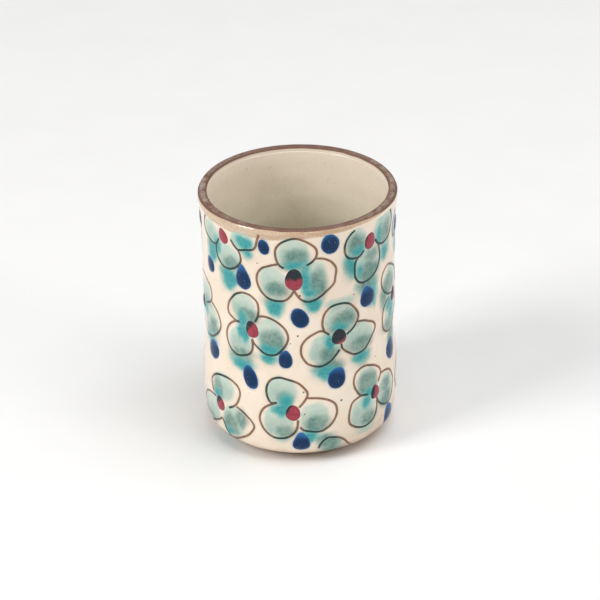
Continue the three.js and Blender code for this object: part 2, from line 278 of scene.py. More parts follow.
        "turquoise": [],
    },
    "base_left": {
        "lines": [[(-47.5, 5.9), (-54, 4.7), (-60, 3.9), (-66, 3.4)],
                  [(-39.5, 7.4), (-45, 5.4), (-50, 4.1), (-54, 3.4)]],
        "pale": [(-56, 4, 10, 3, 0)],
        "pooled": [(-58, 3.6, 10, 2.4, 0)],
        "turquoise": [(-58, 3.6, 12, 2.4, 0)],
    },
}
# The far side, painted from the same patterns: (pattern, degrees, height of the heart, mirrored).
FAR_FLOWERS = [
    ("high_right", 97.0, 86.0, True), ("high_left", 148.5, 91.0, False),
    ("high_middle", 199.5, 80.6, True), ("high_left", 259.0, 90.0, True),
    ("middle_left", 127.0, 55.8, True), ("middle_right", 178.0, 57.0, True),
    ("middle_left", 229.0, 54.6, False), ("low_middle", 101.5, 23.0, True),
    ("low_right", 152.5, 25.4, True), ("low_middle", 204.5, 23.6, False),
    ("low_right", 252.5, 25.8, False),
]
# Cobalt dots as (place, height, across, along, lean, narrowing at the top, paleness at the top).
COBALT_DOTS = [
    (-20.2, 92.6, 4.4, 6.4, 6, 0.1, 0.3), (18.2, 93.7, 6.8, 8.6, 8, 0.12, 0.35),
    (-64.0, 76.2, 5.4, 6.4, 24, 0.1, 0.5), (-34.4, 78.0, 6.2, 10.0, 8, 0.4, 0.7),
    (0.1, 63.8, 6.4, 8.4, 26, 0.05, 0.1), (-8.7, 46.0, 5.2, 8.0, 0, 0.2, 0.4),
    (43.8, 67.2, 7.0, 8.8, 10, 0.25, 0.6), (22.1, 36.6, 7.2, 8.8, -14, 0.1, 0.6),
    (-64.4, 39.6, 8.4, 7.6, 0, 0.0, 0.4), (-31.0, 36.0, 6.2, 9.4, 20, 0.1, 0.25),
    (71.0, 36.8, 8.6, 8.4, 10, 0.05, 0.3), (0.0, 10.9, 6.2, 8.4, 0, 0.45, 0.9),
    (65.8, 9.8, 7.4, 10.4, 20, 0.25, 0.7), (83.0, 86.4, 5.6, 7.6, 0, 0.1, 0.4),
    (-83.0, 90.0, 4.8, 6.8, 0, 0.1, 0.4), (122.0, 90.6, 5.8, 7.6, 6, 0.15, 0.5),
    (173.5, 92.4, 5.4, 7.2, 0, 0.1, 0.3), (228.5, 92.0, 5.6, 7.4, -8, 0.2, 0.6),
    (152.0, 70.4, 6.0, 8.0, 6, 0.2, 0.5), (201.5, 65.0, 6.2, 7.8, 0, 0.1, 0.4),
    (254.5, 70.8, 5.8, 7.6, -6, 0.3, 0.7), (101.5, 46.8, 5.6, 7.8, 8, 0.1, 0.4),
    (126.0, 37.0, 6.2, 8.2, 0, 0.2, 0.5), (179.0, 40.4, 6.4, 8.0, 10, 0.1, 0.6),
    (228.5, 37.4, 6.4, 8.2, -8, 0.2, 0.4), (126.5, 12.6, 6.0, 7.2, 0, 0.3, 0.7),
    (178.5, 13.2, 5.8, 7.0, 0, 0.2, 0.5), (229.0, 12.6, 6.0, 7.2, 0, 0.35, 0.8),
]
# Drops that fell off the brush: (place, height, size, 1 for iron brown or 0 for copper green).
STRAY_DROPS = [
    (-1.2, 56.3, 0.75, 1), (24.2, 27.0, 0.9, 0), (1.7, 32.3, 0.75, 0), (-5.4, 53.0, 0.45, 1),
    (0.4, 73.1, 0.8, 1), (2.1, 23.0, 0.6, 1), (5.4, 21.0, 0.5, 1), (-24.5, 85.2, 0.5, 1),
    (33.6, 70.1, 0.55, 1), (52.0, 39.0, 0.5, 1), (88.0, 74.0, 0.7, 0), (112.0, 68.0, 0.8, 1),
    (140.0, 47.0, 0.6, 0), (166.0, 28.0, 0.7, 1), (190.0, 51.0, 0.6, 1), (214.0, 39.0, 0.8, 0),
    (240.0, 17.0, 0.6, 1), (262.0, 44.0, 0.7, 0), (268.0, 76.0, 0.6, 1),
]


# ---- Small tools ----------------------------------------------------------------------------
def linear(hex_colour):
    """An sRGB hex value as the linear colour that a shader takes."""
    channels = (int(hex_colour[i:i + 2], 16) / 255 for i in (0, 2, 4))
    return tuple(c / 12.92 if c <= 0.04045 else ((c + 0.055) / 1.055) ** 2.4
                 for c in channels) + (1.0,)


def add(tree, kind, settings=None, feeds=None):
    """Adds one node with its settings, input values and links, and returns its outputs."""
    node = tree.nodes.new(kind)
    for name, value in (settings or {}).items():
        setattr(node, name, value)
    for key, value in (feeds or {}).items():
        if isinstance(value, bpy.types.NodeSocket):
            tree.links.new(value, node.inputs[key])
        else:
            node.inputs[key].default_value = value
    return node.outputs


def new_shape_tree(name, sockets):
    """An empty geometry tree and its inputs, each given as (name, socket type, default)."""
    tree = bpy.data.node_groups.new(name, "GeometryNodeTree")
    for side in ("INPUT", "OUTPUT"):
        tree.interface.new_socket("Geometry", in_out=side, socket_type="NodeSocketGeometry")
    for label, kind, default in sockets:
        socket = tree.interface.new_socket(label, in_out="INPUT", socket_type=kind)
        if default is not None:
            socket.default_value = default
    return tree, add(tree, "NodeGroupInput")


def end_shape_tree(tree, shape, material):
    """Makes the instances real, gives the shape its material and ends the tree with it."""
    real = add(tree, "GeometryNodeRealizeInstances", None, {0: shape})[0]
    finished = add(tree, "GeometryNodeSetMaterial", None, {0: real, "Material": material})[0]
    add(tree, "NodeGroupOutput", None, {0: finished})
    return tree


def facing(tree, turn):
    """The level direction out of the cup at a turn, in radians from -Y."""
    sine = add(tree, MATHS, {"operation": "SINE"}, {0: turn})[0]
    cosine = add(tree, MATHS, {"operation": "COSINE"}, {0: turn})[0]
    backwards = add(tree, MATHS, {"operation": "MULTIPLY"}, {0: cosine, 1: -1.0})[0]
    return add(tree, "ShaderNodeCombineXYZ", None, {"X": sine, "Y": backwards})[0]


def points_mesh(name, points, edges=(), **attributes):
    """A mesh of loose or chained points in metres, with one number per point and attribute."""
    mesh = bpy.data.meshes.new(name)
    mesh.from_pydata([tuple(p) for p in points], list(edges), [])
    for label, values in attributes.items():
        mesh.attributes.new(label, "FLOAT", "POINT").data.foreach_set(
            "value", np.asarray(values, dtype=np.float32))
    return mesh


def shaped(name, blank, tree, inputs):
    """Runs a shape tree on a blank mesh and keeps the result as a plain mesh object."""
    source = bpy.data.objects.new(name + "_blank", blank)
    bpy.context.scene.collection.objects.link(source)
    modifier = source.modifiers.new("shape", "NODES")
    modifier.node_group = tree
    for item in tree.interface.items_tree:
        if item.in_out == "INPUT" and item.name in inputs:
            modifier[item.identifier] = inputs[item.name]
    graph = bpy.context.evaluated_depsgraph_get()
    mesh = bpy.data.meshes.new_from_object(source.evaluated_get(graph),
                                           preserve_all_data_layers=True, depsgraph=graph)
    mesh.name = name
    bpy.data.objects.remove(source)
    piece = bpy.data.objects.new(name, mesh)
    bpy.context.scene.collection.objects.link(piece)
    return piece


def faces_outwards(piece):
    """Turns every face of a closed piece outwards and shades it smooth."""
    shell = bmesh.new()
    shell.from_mesh(piece.data)
    bmesh.ops.recalc_face_normals(shell, faces=shell.faces)
    for face in shell.faces:
        face.smooth = True
    shell.to_mesh(piece.data)
    shell.free()


def vertex_places(mesh):
    """Each vertex as (degrees round the wall, height in mm, radius in mm)."""
    flat = np.empty(len(mesh.vertices) * 3)
    mesh.vertices.foreach_get("co", flat)
    x, y, z = flat.reshape(-1, 3).T / MM
    return np.degrees(np.arctan2(x, -y)), z, np.hypot(x, y)


def smooth_radius(knots, heights):
    """The radius at each height, on a smooth curve through (height, radius) knots."""
    z, r = np.array(knots, dtype=float).T
    slope = np.gradient(r, z)
    heights = np.clip(heights, z[0], z[-1])
    i = np.clip(np.searchsorted(z, heights, side="right") - 1, 0, len(z) - 2)
    step = z[i + 1] - z[i]
    t = (heights - z[i]) / step
    return ((2 * t ** 3 - 3 * t ** 2 + 1) * r[i] + (t ** 3 - 2 * t ** 2 + t) * step * slope[i]
            + (3 * t ** 2 - 2 * t ** 3) * r[i + 1] + (t ** 3 - t ** 2) * step * slope[i + 1])


def smooth_line(places, spacing):
    """Evenly spaced points, in flat mm, on a smooth line through (degrees, height) places."""
    knots = [(math.radians(a) * GIRTH_RADIUS, z) for a, z in places]
    knots = np.array([knots[0], *knots, knots[-1]], dtype=float)
    dense = []
    for p0, p1, p2, p3 in zip(knots, knots[1:], knots[2:], knots[3:]):
        for t in np.linspace(0, 1, 16, endpoint=False):
            dense.append(0.5 * (2 * p1 + (p2 - p0) * t + (2 * p0 - 5 * p1 + 4 * p2 - p3) * t ** 2
                                + (3 * p1 - p0 - 3 * p2 + p3) * t ** 3))
    dense = np.array([*dense, knots[-1]])
    along = np.concatenate([[0], np.cumsum(np.hypot(*np.diff(dense, axis=0).T))])
    even = np.linspace(0, along[-1], max(4, int(along[-1] / spacing)))
    return np.stack([np.interp(even, along, dense[:, k]) for k in (0, 1)], axis=1)


# ---- Shapes ---------------------------------------------------------------------------------
def wheel_tree():
    """Turns a chain of profile points (X outwards, Z up) into a closed body about the axis."""
    tree, given = new_shape_tree("Turned on the wheel", [
        ("Facets", "NodeSocketInt", 96), ("Oval", "NodeSocketFloat", 0.0),
        ("Finger ridge", "NodeSocketFloat", 0.0), ("Ridge spacing", "NodeSocketFloat", 0.007),
        ("Unevenness", "NodeSocketFloat", 0.0), ("Seed", "NodeSocketFloat", 0.0),
        ("Material", "NodeSocketMaterial", None)])
    rows = add(tree, "GeometryNodeAttributeDomainSize", {"component": "MESH"},
               {0: given["Geometry"]})["Point Count"]
    columns = add(tree, MATHS, {"operation": "ADD"}, {0: given["Facets"], 1: 1.0})[0]
    sheet = add(tree, "GeometryNodeMeshGrid", None,
                {"Size X": 1.0, "Size Y": 1.0, "Vertices X": columns, "Vertices Y": rows})
    place = add(tree, "GeometryNodeInputPosition")[0]
    across = add(tree, "ShaderNodeSeparateXYZ", None, {0: place})
    last_row = add(tree, MATHS, {"operation": "SUBTRACT"}, {0: rows, 1: 1.0})[0]
    up = add(tree, MATHS, {"operation": "ADD"}, {0: across["Y"], 1: 0.5})[0]
    row = add(tree, MATHS, {"operation": "MULTIPLY"}, {0: up, 1: last_row})[0]
    row = add(tree, MATHS, {"operation": "ROUND"}, {0: row})[0]
    profile = add(tree, "GeometryNodeSampleIndex",
                  {"data_type": "FLOAT_VECTOR", "domain": "POINT"},
                  {"Geometry": given["Geometry"], "Value": place, "Index": row})[0]
    on_profile = add(tree, "ShaderNodeSeparateXYZ", None, {0: profile})
    turn = add(tree, MATHS, {"operation": "MULTIPLY_ADD"},
               {0: across["X"], 1: math.tau, 2: math.pi})[0]
    outwards = facing(tree, turn)

    # The fingers climb the wall in a spiral, so the ridges rise by one spacing each turn.
    climb = add(tree, MATHS, {"operation": "DIVIDE"},
                {0: on_profile["Z"], 1: given["Ridge spacing"]})[0]
    climb = add(tree, MATHS, {"operation": "MULTIPLY_ADD"},
                {0: climb, 1: math.tau, 2: turn})[0]
    ridge = add(tree, MATHS, {"operation": "SINE"}, {0: climb})[0]
    ridge = add(tree, MATHS, {"operation": "MULTIPLY"},
                {0: ridge, 1: given["Finger ridge"]})[0]
    twice = add(tree, MATHS, {"operation": "MULTIPLY_ADD"},
                {0: turn, 1: 2.0, 2: given["Seed"]})[0]
    squeeze = add(tree, MATHS, {"operation": "COSINE"}, {0: twice})[0]
    squeeze = add(tree, MATHS, {"operation": "MULTIPLY"}, {0: squeeze, 1: given["Oval"]})[0]
    flat_ring = add(tree, VECTORS, {"operation": "SCALE"},
                    {0: outwards, "Scale": on_profile["X"]})[0]
    at_height = add(tree, "ShaderNodeCombineXYZ", None, {"Z": on_profile["Z"]})[0]
    round_place = add(tree, VECTORS, {"operation": "ADD"}, {0: flat_ring, 1: at_height})[0]
    dents = add(tree, "ShaderNodeTexNoise", {"noise_dimensions": "4D"},
                {"Vector": round_place, "W": given["Seed"], "Scale": 55.0, "Detail": 2.0})[0]
    dents = add(tree, MATHS, {"operation": "SUBTRACT"}, {0: dents, 1: 0.5})[0]
    dents = add(tree, MATHS, {"operation": "MULTIPLY"}, {0: dents, 1: given["Unevenness"]})[0]
    moved = add(tree, MATHS, {"operation": "ADD"}, {0: ridge, 1: squeeze})[0]
    moved = add(tree, MATHS, {"operation": "ADD"}, {0: moved, 1: dents})[0]
    # Nothing moves on the axis, so the middle of a floor stays closed.
    off_axis = add(tree, "ShaderNodeMapRange", None,
                   {"Value": on_profile["X"], "From Min": 0.0, "From Max": 0.02})[0]
    moved = add(tree, MATHS, {"operation": "MULTIPLY"}, {0: moved, 1: off_axis})[0]
    radius = add(tree, MATHS, {"operation": "ADD"}, {0: on_profile["X"], 1: moved})[0]
    ring = add(tree, VECTORS, {"operation": "SCALE"}, {0: outwards, "Scale": radius})[0]
    final = add(tree, VECTORS, {"operation": "ADD"}, {0: ring, 1: at_height})[0]
    turned = add(tree, "GeometryNodeSetPosition", None,
                 {"Geometry": sheet["Mesh"], "Position": final})[0]
    closed = add(tree, "GeometryNodeMergeByDistance", None, {0: turned, "Distance": 1e-6})[0]
    return end_shape_tree(tree, closed, given["Material"])


def wrap_on_wall(tree, pattern, wall):
    """Wraps a flat pattern round the cup: X along the girth, Y up the wall, Z out of the glaze."""
    place = add(tree, "GeometryNodeInputPosition")[0]
    flat = add(tree, "ShaderNodeSeparateXYZ", None, {0: place})
    turn = add(tree, MATHS, {"operation": "DIVIDE"}, {0: flat["X"], 1: GIRTH_RADIUS * MM})[0]
    outwards = facing(tree, turn)
    at_height = add(tree, "ShaderNodeCombineXYZ", None, {"Z": flat["Y"]})[0]
    outside = add(tree, VECTORS, {"operation": "SCALE"}, {0: outwards, "Scale": DROP_RADIUS})[0]
    start = add(tree, VECTORS, {"operation": "ADD"}, {0: outside, 1: at_height})[0]
    inwards = add(tree, VECTORS, {"operation": "SCALE"}, {0: outwards, "Scale": -1.0})[0]
    wall_shape = add(tree, "GeometryNodeObjectInfo", None, {"Object": wall})["Geometry"]
    touch = add(tree, "GeometryNodeRaycast", None,
                {"Target Geometry": wall_shape, "Source Position": start,
                 "Ray Direction": inwards, "Ray Length": DROP_REACH})
    lift = add(tree, VECTORS, {"operation": "SCALE"},
               {0: touch["Hit Normal"], "Scale": flat["Z"]})[0]
    on_wall = add(tree, VECTORS, {"operation": "ADD"}, {0: touch["Hit Position"], 1: lift})[0]
    return add(tree, "GeometryNodeSetPosition", None,
               {"Geometry": pattern, "Position": on_wall})[0]


def brush_line_tree():
    """Chains of points, with a pressure at each, become raised brush lines on the wall."""
    tree, given = new_shape_tree("Brush lines", [
        ("Line width", "NodeSocketFloat", 0.001), ("Line relief", "NodeSocketFloat", 0.0001),
        ("Sides", "NodeSocketInt", 8), ("Wall", "NodeSocketObject", None),
        ("Material", "NodeSocketMaterial", None)])
    chain = add(tree, "GeometryNodeMeshToCurve", None, {0: given["Geometry"]})[0]
    pressure = add(tree, "GeometryNodeInputNamedAttribute", {"data_type": "FLOAT"},
                   {"Name": "pressure"})[0]
    chain = add(tree, "GeometryNodeSetCurveRadius", None, {0: chain, "Radius": pressure})[0]
    chain = add(tree, "GeometryNodeSetCurveNormal", {"mode": "Z_UP"}, {0: chain})[0]
    loop = add(tree, "GeometryNodeCurvePrimitiveCircle", {"mode": "RADIUS"},
               {"Resolution": given["Sides"], "Radius": 1.0})[0]
    half = add(tree, MATHS, {"operation": "MULTIPLY"},
               {0: given["Line width"], 1: 0.5})[0]
    size = add(tree, "ShaderNodeCombineXYZ", None,
               {"X": half, "Y": given["Line relief"], "Z": 1.0})[0]
    loop = add(tree, "GeometryNodeTransform", None, {0: loop, "Scale": size})[0]
    lines = add(tree, "GeometryNodeCurveToMesh", None,
                {"Curve": chain, "Profile Curve": loop, "Fill Caps": True})[0]
    return end_shape_tree(tree, wrap_on_wall(tree, lines, given["Wall"]), given["Material"])


def dab_tree():
    """Points with across, along, lean and narrowing become low domes of enamel on the wall."""
    tree, given = new_shape_tree("Enamel dabs", [
        ("Relief", "NodeSocketFloat", 0.00035), ("Wander", "NodeSocketFloat", 0.16),
        ("Seed", "NodeSocketFloat", 0.0), ("Facets", "NodeSocketInt", 36),
        ("Rings", "NodeSocketInt", 16), ("Wall", "NodeSocketObject", None),
        ("Material", "NodeSocketMaterial", None)])
    bead = add(tree, "GeometryNodeMeshUVSphere", None,
               {"Segments": given["Facets"], "Rings": given["Rings"], "Radius": 1.0})["Mesh"]
    place = add(tree, "GeometryNodeInputPosition")[0]
    bead = add(tree, "GeometryNodeStoreNamedAttribute",
               {"data_type": "FLOAT_VECTOR", "domain": "POINT"},
               {"Geometry": bead, "Name": "on_dab", "Value": place})[0]
    points = add(tree, "GeometryNodeStoreNamedAttribute",
                 {"data_type": "FLOAT_VECTOR", "domain": "POINT"},
                 {"Geometry": given["Geometry"], "Name": "middle", "Value": place})[0]
    dabs = add(tree, "GeometryNodeInstanceOnPoints", None,
               {"Points": points, "Instance": bead})[0]
    dabs = add(tree, "GeometryNodeRealizeInstances", None, {0: dabs})[0]
    number = {}
    for label in ("across", "along", "lean", "narrowing"):
        number[label] = add(tree, "GeometryNodeInputNamedAttribute", {"data_type": "FLOAT"},
                            {"Name": label})[0]
    on_dab = add(tree, "GeometryNodeInputNamedAttribute", {"data_type": "FLOAT_VECTOR"},
                 {"Name": "on_dab"})[0]
    middle = add(tree, "GeometryNodeInputNamedAttribute", {"data_type": "FLOAT_VECTOR"},
                 {"Name": "middle"})[0]
    local = add(tree, "ShaderNodeSeparateXYZ", None, {0: on_dab})

    # A brush leaves no true ellipse: the edge wanders, and the top narrows where the hairs lift.
    far_apart = add(tree, VECTORS, {"operation": "SCALE"}, {0: middle, "Scale": 900.0})[0]
    where = add(tree, VECTORS, {"operation": "ADD"}, {0: on_dab, 1: far_apart})[0]
    wander = add(tree, "ShaderNodeTexNoise", {"noise_dimensions": "4D"},
                 {"Vector": where, "W": given["Seed"], "Scale": 1.1, "Detail": 2.0})[0]
    wander = add(tree, MATHS, {"operation": "SUBTRACT"}, {0: wander, 1: 0.5})[0]
    wander = add(tree, MATHS, {"operation": "MULTIPLY_ADD"},
                 {0: wander, 1: given["Wander"], 2: 1.0})[0]
    narrow = add(tree, MATHS, {"operation": "MULTIPLY"},
                 {0: local["Y"], 1: number["narrowing"]})[0]
    narrow = add(tree, MATHS, {"operation": "SUBTRACT"}, {0: 1.0, 1: narrow})[0]
    wide = add(tree, MATHS, {"operation": "MULTIPLY"}, {0: local["X"], 1: narrow})[0]
    wide = add(tree, MATHS, {"operation": "MULTIPLY"}, {0: wide, 1: number["across"]})[0]
    tall = add(tree, MATHS, {"operation": "MULTIPLY"}, {0: local["Y"], 1: number["along"]})[0]
    wide = add(tree, MATHS, {"operation": "MULTIPLY"}, {0: wide, 1: wander})[0]
    tall = add(tree, MATHS, {"operation": "MULTIPLY"}, {0: tall, 1: wander})[0]
    outline = add(tree, "ShaderNodeCombineXYZ", None, {"X": wide, "Y": tall})[0]
    outline = add(tree, "ShaderNodeVectorRotate", {"rotation_type": "Z_AXIS"},
                  {"Vector": outline, "Angle": number["lean"]})[0]
    outline = add(tree, VECTORS, {"operation": "SCALE"}, {0: outline, "Scale": 0.5})[0]
    # Molten enamel domes in the middle and thins to nothing at its edge; its back is sunk.
    reach = add(tree, MATHS, {"operation": "MULTIPLY"}, {0: local["Z"], 1: local["Z"]})[0]
    reach = add(tree, MATHS, {"operation": "SUBTRACT"}, {0: 1.0, 1: reach})[0]
    swell = add(tree, MATHS, {"operation": "POWER"}, {0: reach, 1: 1.6})[0]
    swell = add(tree, MATHS, {"operation": "SUBTRACT"}, {0: 1.0, 1: swell})[0]
    face = add(tree, MATHS, {"operation": "GREATER_THAN"}, {0: local["Z"], 1: 0.0})[0]
    side = add(tree, "ShaderNodeMapRange", None,
               {"Value": face, "To Min": -0.25, "To Max": 1.0})[0]
    height = add(tree, MATHS, {"operation": "MULTIPLY"}, {0: swell, 1: side})[0]
    height = add(tree, MATHS, {"operation": "MULTIPLY"}, {0: height, 1: given["Relief"]})[0]
    raised = add(tree, "ShaderNodeCombineXYZ", None, {"Z": height})[0]
    spot = add(tree, VECTORS, {"operation": "ADD"}, {0: middle, 1: outline})[0]
    spot = add(tree, VECTORS, {"operation": "ADD"}, {0: spot, 1: raised})[0]
    dabs = add(tree, "GeometryNodeSetPosition", None, {"Geometry": dabs, "Position": spot})[0]
    return end_shape_tree(tree, wrap_on_wall(tree, dabs, given["Wall"]), given["Material"])


# ---- Profiles -------------------------------------------------------------------------------
def chain_of(name, profile):
    """A profile of (radius, height) points in mm as a chain of points in metres."""
    points = [(max(r, 0.0) * MM, 0.0, z * MM) for r, z in profile]
    return points_mesh(name, points, [(i, i + 1) for i in range(len(points) - 1)])


def bore_curve(offset, steps):
    """The curve from the bore's wall into the floor, from the floor's flat up to the wall."""
    wall, centre_height = BORE_KNOTS[0][1], FLOOR_TOP + FLOOR_CURVE
    angles = np.linspace(0, math.pi / 2, steps)
    reach = FLOOR_CURVE + offset
    return [(wall - FLOOR_CURVE + reach * math.sin(a), centre_height - reach * math.cos(a))
            for a in angles]


def sleeve_profile():
    """The outer glaze: its painted face in close rows, then its hidden back in a few."""
    heights = np.linspace(2.8, 98.6, 176)
    outer = list(zip(smooth_radius(WALL_KNOTS, heights), heights))
    back_heights = np.linspace(98.4, 3.0, 22)
    back = list(zip(smooth_radius(WALL_KNOTS, back_heights) - SLEEVE, back_heights))
    # The glaze was wiped off above the foot and drew back into a small rounded bead.
    bead = [(31.62, 2.84), (31.72, 2.66), (31.9, 2.66)]
    return [*outer, *back, *bead, outer[0]]


def liner_profile():
    """The inner glaze as one cup-shaped skin, closed on the axis above and below."""
    heights = np.linspace(15.4, 98.6, 90)
    wall = list(zip(smooth_radius(BORE_KNOTS, heights), heights))
    face = [*[(r, FLOOR_TOP) for r in np.linspace(0, 24, 14)], *bore_curve(0, 12), *wall]
    back = [(r + SLEEVE, z) for r, z in wall[::-6]]
    under = [*bore_curve(SLEEVE, 8)[::-1], (12, FLOOR_TOP - SLEEVE), (0, FLOOR_TOP - SLEEVE)]
    return [*face, *back, *under]


def clay_profile():
    """The clay: foot turned underneath, wall behind the glazes, lip, bore and floor."""
    outside = np.linspace(3.4, 97.7, 40)
    wall = list(zip(smooth_radius(WALL_KNOTS, outside) - CLAY_BEHIND, outside))
    lip = [(36.3, 98.4), (35.5, 98.8), (34.8, 98.4)]
    inside = np.linspace(97.7, 15.4, 30)
    bore = list(zip(smooth_radius(BORE_KNOTS, inside) + CLAY_BEHIND, inside))
    under = FLOOR_TOP - CLAY_BEHIND
    floor = [*bore_curve(CLAY_BEHIND, 8)[::-1], (12, under), (0, under)]
    return [*FOOT_TURNING, *wall, *lip, *bore, *floor]


def lip_profile():
    """The iron band over the lip, with the points of its round face set close."""
    face = np.array(LIP_OVER)
    along = np.concatenate([[0], np.cumsum(np.hypot(*np.diff(face, axis=0).T))])
    even = np.linspace(0, along[-1], 44)
    over = [(np.interp(s, along, face[:, 0]), np.interp(s, along, face[:, 1])) for s in even]
    return [*over, *LIP_UNDER, over[0]]


# ---- Painting -------------------------------------------------------------------------------
def all_flowers():
    """The flowers in front, and copies of them round the far side with a hand's small changes."""
    flowers = list(FLOWERS.values())
    hand = np.random.default_rng(23)
    for pattern, turn, height, mirrored in FAR_FLOWERS:
        model = FLOWERS[pattern]
        flip = -1 if mirrored else 1
        wide, tall = hand.uniform(0.93, 1.05, 2)

        def moved(place):
            return (turn + flip * (place[0] - model["heart"][0]) * wide,
                    height + (place[1] - model["heart"][1]) * tall)

        copy = {"lines": [[tuple(np.array(moved(p)) + hand.normal(0, (0.45, 0.25)))
                           for p in line] for line in model["lines"]]}
        for wash in ("pale", "pooled", "turquoise"):
            copy[wash] = [(*moved(w), w[2] * wide, w[3] * tall, flip * w[4])
                          for w in model[wash]]
        _, _, across, along, lean, dark_side, _ = model["heart"]
        copy["heart"] = (turn, height, across, along, flip * lean,
                         180 - dark_side if mirrored else dark_side, hand.uniform(0.0, 0.6))
        flowers.append(copy)
    return flowers


def soft_step(value):
    """A smooth rise from 0 to 1 as the value goes from 0 to 1."""
    value = np.clip(value, 0, 1)
    return value * value * (3 - 2 * value)


def drift(u, v, seed):
    """A slow, smooth wander between -1 and 1 over flat mm, always the same for one seed."""
    hand = np.random.default_rng(seed)
    waves = [(*hand.normal(0, 0.75, 2), hand.uniform(0, math.tau)) for _ in range(5)]
    return sum(np.sin(u * a + v * b + c) for a, b, c in waves) / len(waves)


def spread(places, blobs, edge, wander=0.7, reach=0.0, narrowing=None):
    """How strongly soft-edged washes cover each place, from 0 to 1. edge is in mm."""
    turns, heights = places
    cover = np.zeros(len(turns))
    for number, (turn, height, across, along, lean) in enumerate(blobs):
        u = np.radians((turns - turn + 180) % 360 - 180) * GIRTH_RADIUS
        v = heights - height
        near = np.flatnonzero((np.abs(u) < across + 3) & (np.abs(v) < along + 3))
        u, v = u[near], v[near]
        u, v = u + wander * drift(u, v, 90 + number), v + wander * drift(v, u, 170 + number)
        tilt = math.radians(lean)
        u, v = (u * math.cos(tilt) + v * math.sin(tilt), v * math.cos(tilt) - u * math.sin(tilt))
        if narrowing is not None:
            u = u / np.clip(1 - narrowing[number] * 2 * v / along, 0.3, 2)
        ring = np.hypot(2 * u / across, 2 * v / along)
        inside = (1 - ring) * min(across, along) / 2 + reach
        cover[near] = np.maximum(cover[near], soft_step(inside / edge + 0.5))
    return cover


def washes_at(places, flowers, reach=0.45):
    """The pale, pooled and turquoise cover at each (degrees, height) place."""
    washes = [wash for flower in flowers for wash in flower["pale"]]
    # The first three washes of a flower fill its petals; the others ran down and grew narrow.
    narrow = [-0.24 * (number > 2) for flower in flowers for number in range(len(flower["pale"]))]
    pale = spread(places, washes, edge=1.7, reach=reach, narrowing=narrow)
    # Every wash ran down while it was wet, so its lower part holds more of the copper.
    sunk = [(turn, height - 0.2 * along, 0.96 * across, 0.72 * along, lean)
            for turn, height, across, along, lean in washes]
    pooled = np.maximum(0.34 * spread(places, sunk, edge=4.4, reach=reach), spread(
        places, [w for f in flowers for w in f["pooled"]], edge=3.6, reach=reach))
    strong = [wash for flower in flowers for wash in flower["turquoise"]]
    turquoise = spread(places, strong, edge=2.8, wander=1.1, reach=0.35,
                       narrowing=[-0.2] * len(strong))
    return pale, pooled, turquoise


def brush_chains(flowers):
    """The brush lines as one blank of chained points, with the brush's pressure at each."""
    hand = np.random.default_rng(5)
    points, edges, pressure = [], [], []
    for line in (line for flower in flowers for line in flower["lines"]):
        path = smooth_line(line, LINE_STEP)
        seed = int(hand.integers(1 << 30))
        path += 0.09 * np.stack([drift(path[:, 0], path[:, 1], seed),
                                 drift(path[:, 1], path[:, 0], seed + 1)], axis=1)
        path = path[(path[:, 1] > PAINT_LOW) & (path[:, 1] < PAINT_HIGH)]
        along = np.arange(len(path)) * LINE_STEP
        press = hand.uniform(0.74, 1.2) * (1 + 0.34 * drift(along, 0 * along, seed + 2))
        press *= 0.55 + 0.45 * soft_step(along / 1.2)
        press *= 0.4 + 0.6 * soft_step((along[-1] - along) / 1.6)
        first = len(points)
        points += [(x * MM, y * MM, 0.0) for x, y in path]
        edges += [(i, i + 1) for i in range(first, len(points) - 1)]
        pressure += list(press)
    return points_mesh("brush_chains", points, edges, pressure=pressure)


def dab_points(name, dabs):
    """Dabs, as (place, height, across, along, lean, narrowing), as a blank of loose points."""
    turn, height, across, along, lean, narrowing = np.array(dabs, dtype=float).T
    middle = np.stack([np.radians(turn) * GIRTH_RADIUS, height, 0 * height], axis=1) * MM
    return points_mesh(name, middle, across=across * MM, along=along * MM,
                       lean=np.radians(lean), narrowing=narrowing)


def put_number(piece, label, values):
    """Stores one number at each vertex of a piece, for its material to read."""
    layer = piece.data.attributes.new(label, "FLOAT", "POINT")
    layer.data.foreach_set("value", np.asarray(values, dtype=np.float32))


def on_each_dab(piece, per_dab):
    """Every vertex's place on its own dab, and that dab's row of per_dab."""
    flat = np.empty(len(piece.data.vertices) * 3)
    piece.data.attributes["on_dab"].data.foreach_get("vector", flat)
    rows = np.repeat(np.array(per_dab, dtype=float), len(flat) // 3 // len(per_dab), axis=0)
    return flat.reshape(-1, 3), rows


def toasting_and_low_shade(turns, heights):
    """Where the outer glaze breaks thin and toasted: under the lip, in a strip that is deepest
    left of the front and has a darker lower edge, and above its wiped foot. It also holds a
    painted shade in the same tan low on the right of the wall, where less light falls."""
    wavy = drift(np.radians(turns) * GIRTH_RADIUS, heights, 7)
    deepest = ((1 + np.cos(np.radians(turns + 35))) / 2) ** 4
    lower = 98.7 - 3.2 * deepest + 0.3 * wavy
    strength = 0.62 + 0.3 * np.exp(-((turns - 8) / 28) ** 2)
    under_lip = strength * soft_step((heights - lower) / 0.7)
    lower_edge = 0.4 * np.exp(-((heights - lower - 0.35) / 0.3) ** 2)
    at_foot = 0.65 * soft_step((8.0 + 2.0 * wavy - heights) / 5.0)
    # Painted shade: the lower right of the wall is darkened with the toasted tan, where less light
    # falls there.
    painted_low_shade = 0.4 * soft_step((20 - heights) / 12) * np.exp(-((turns - 55) / 35) ** 2)
    return np.clip(under_lip + lower_edge + at_foot + painted_low_shade, 0, 1)


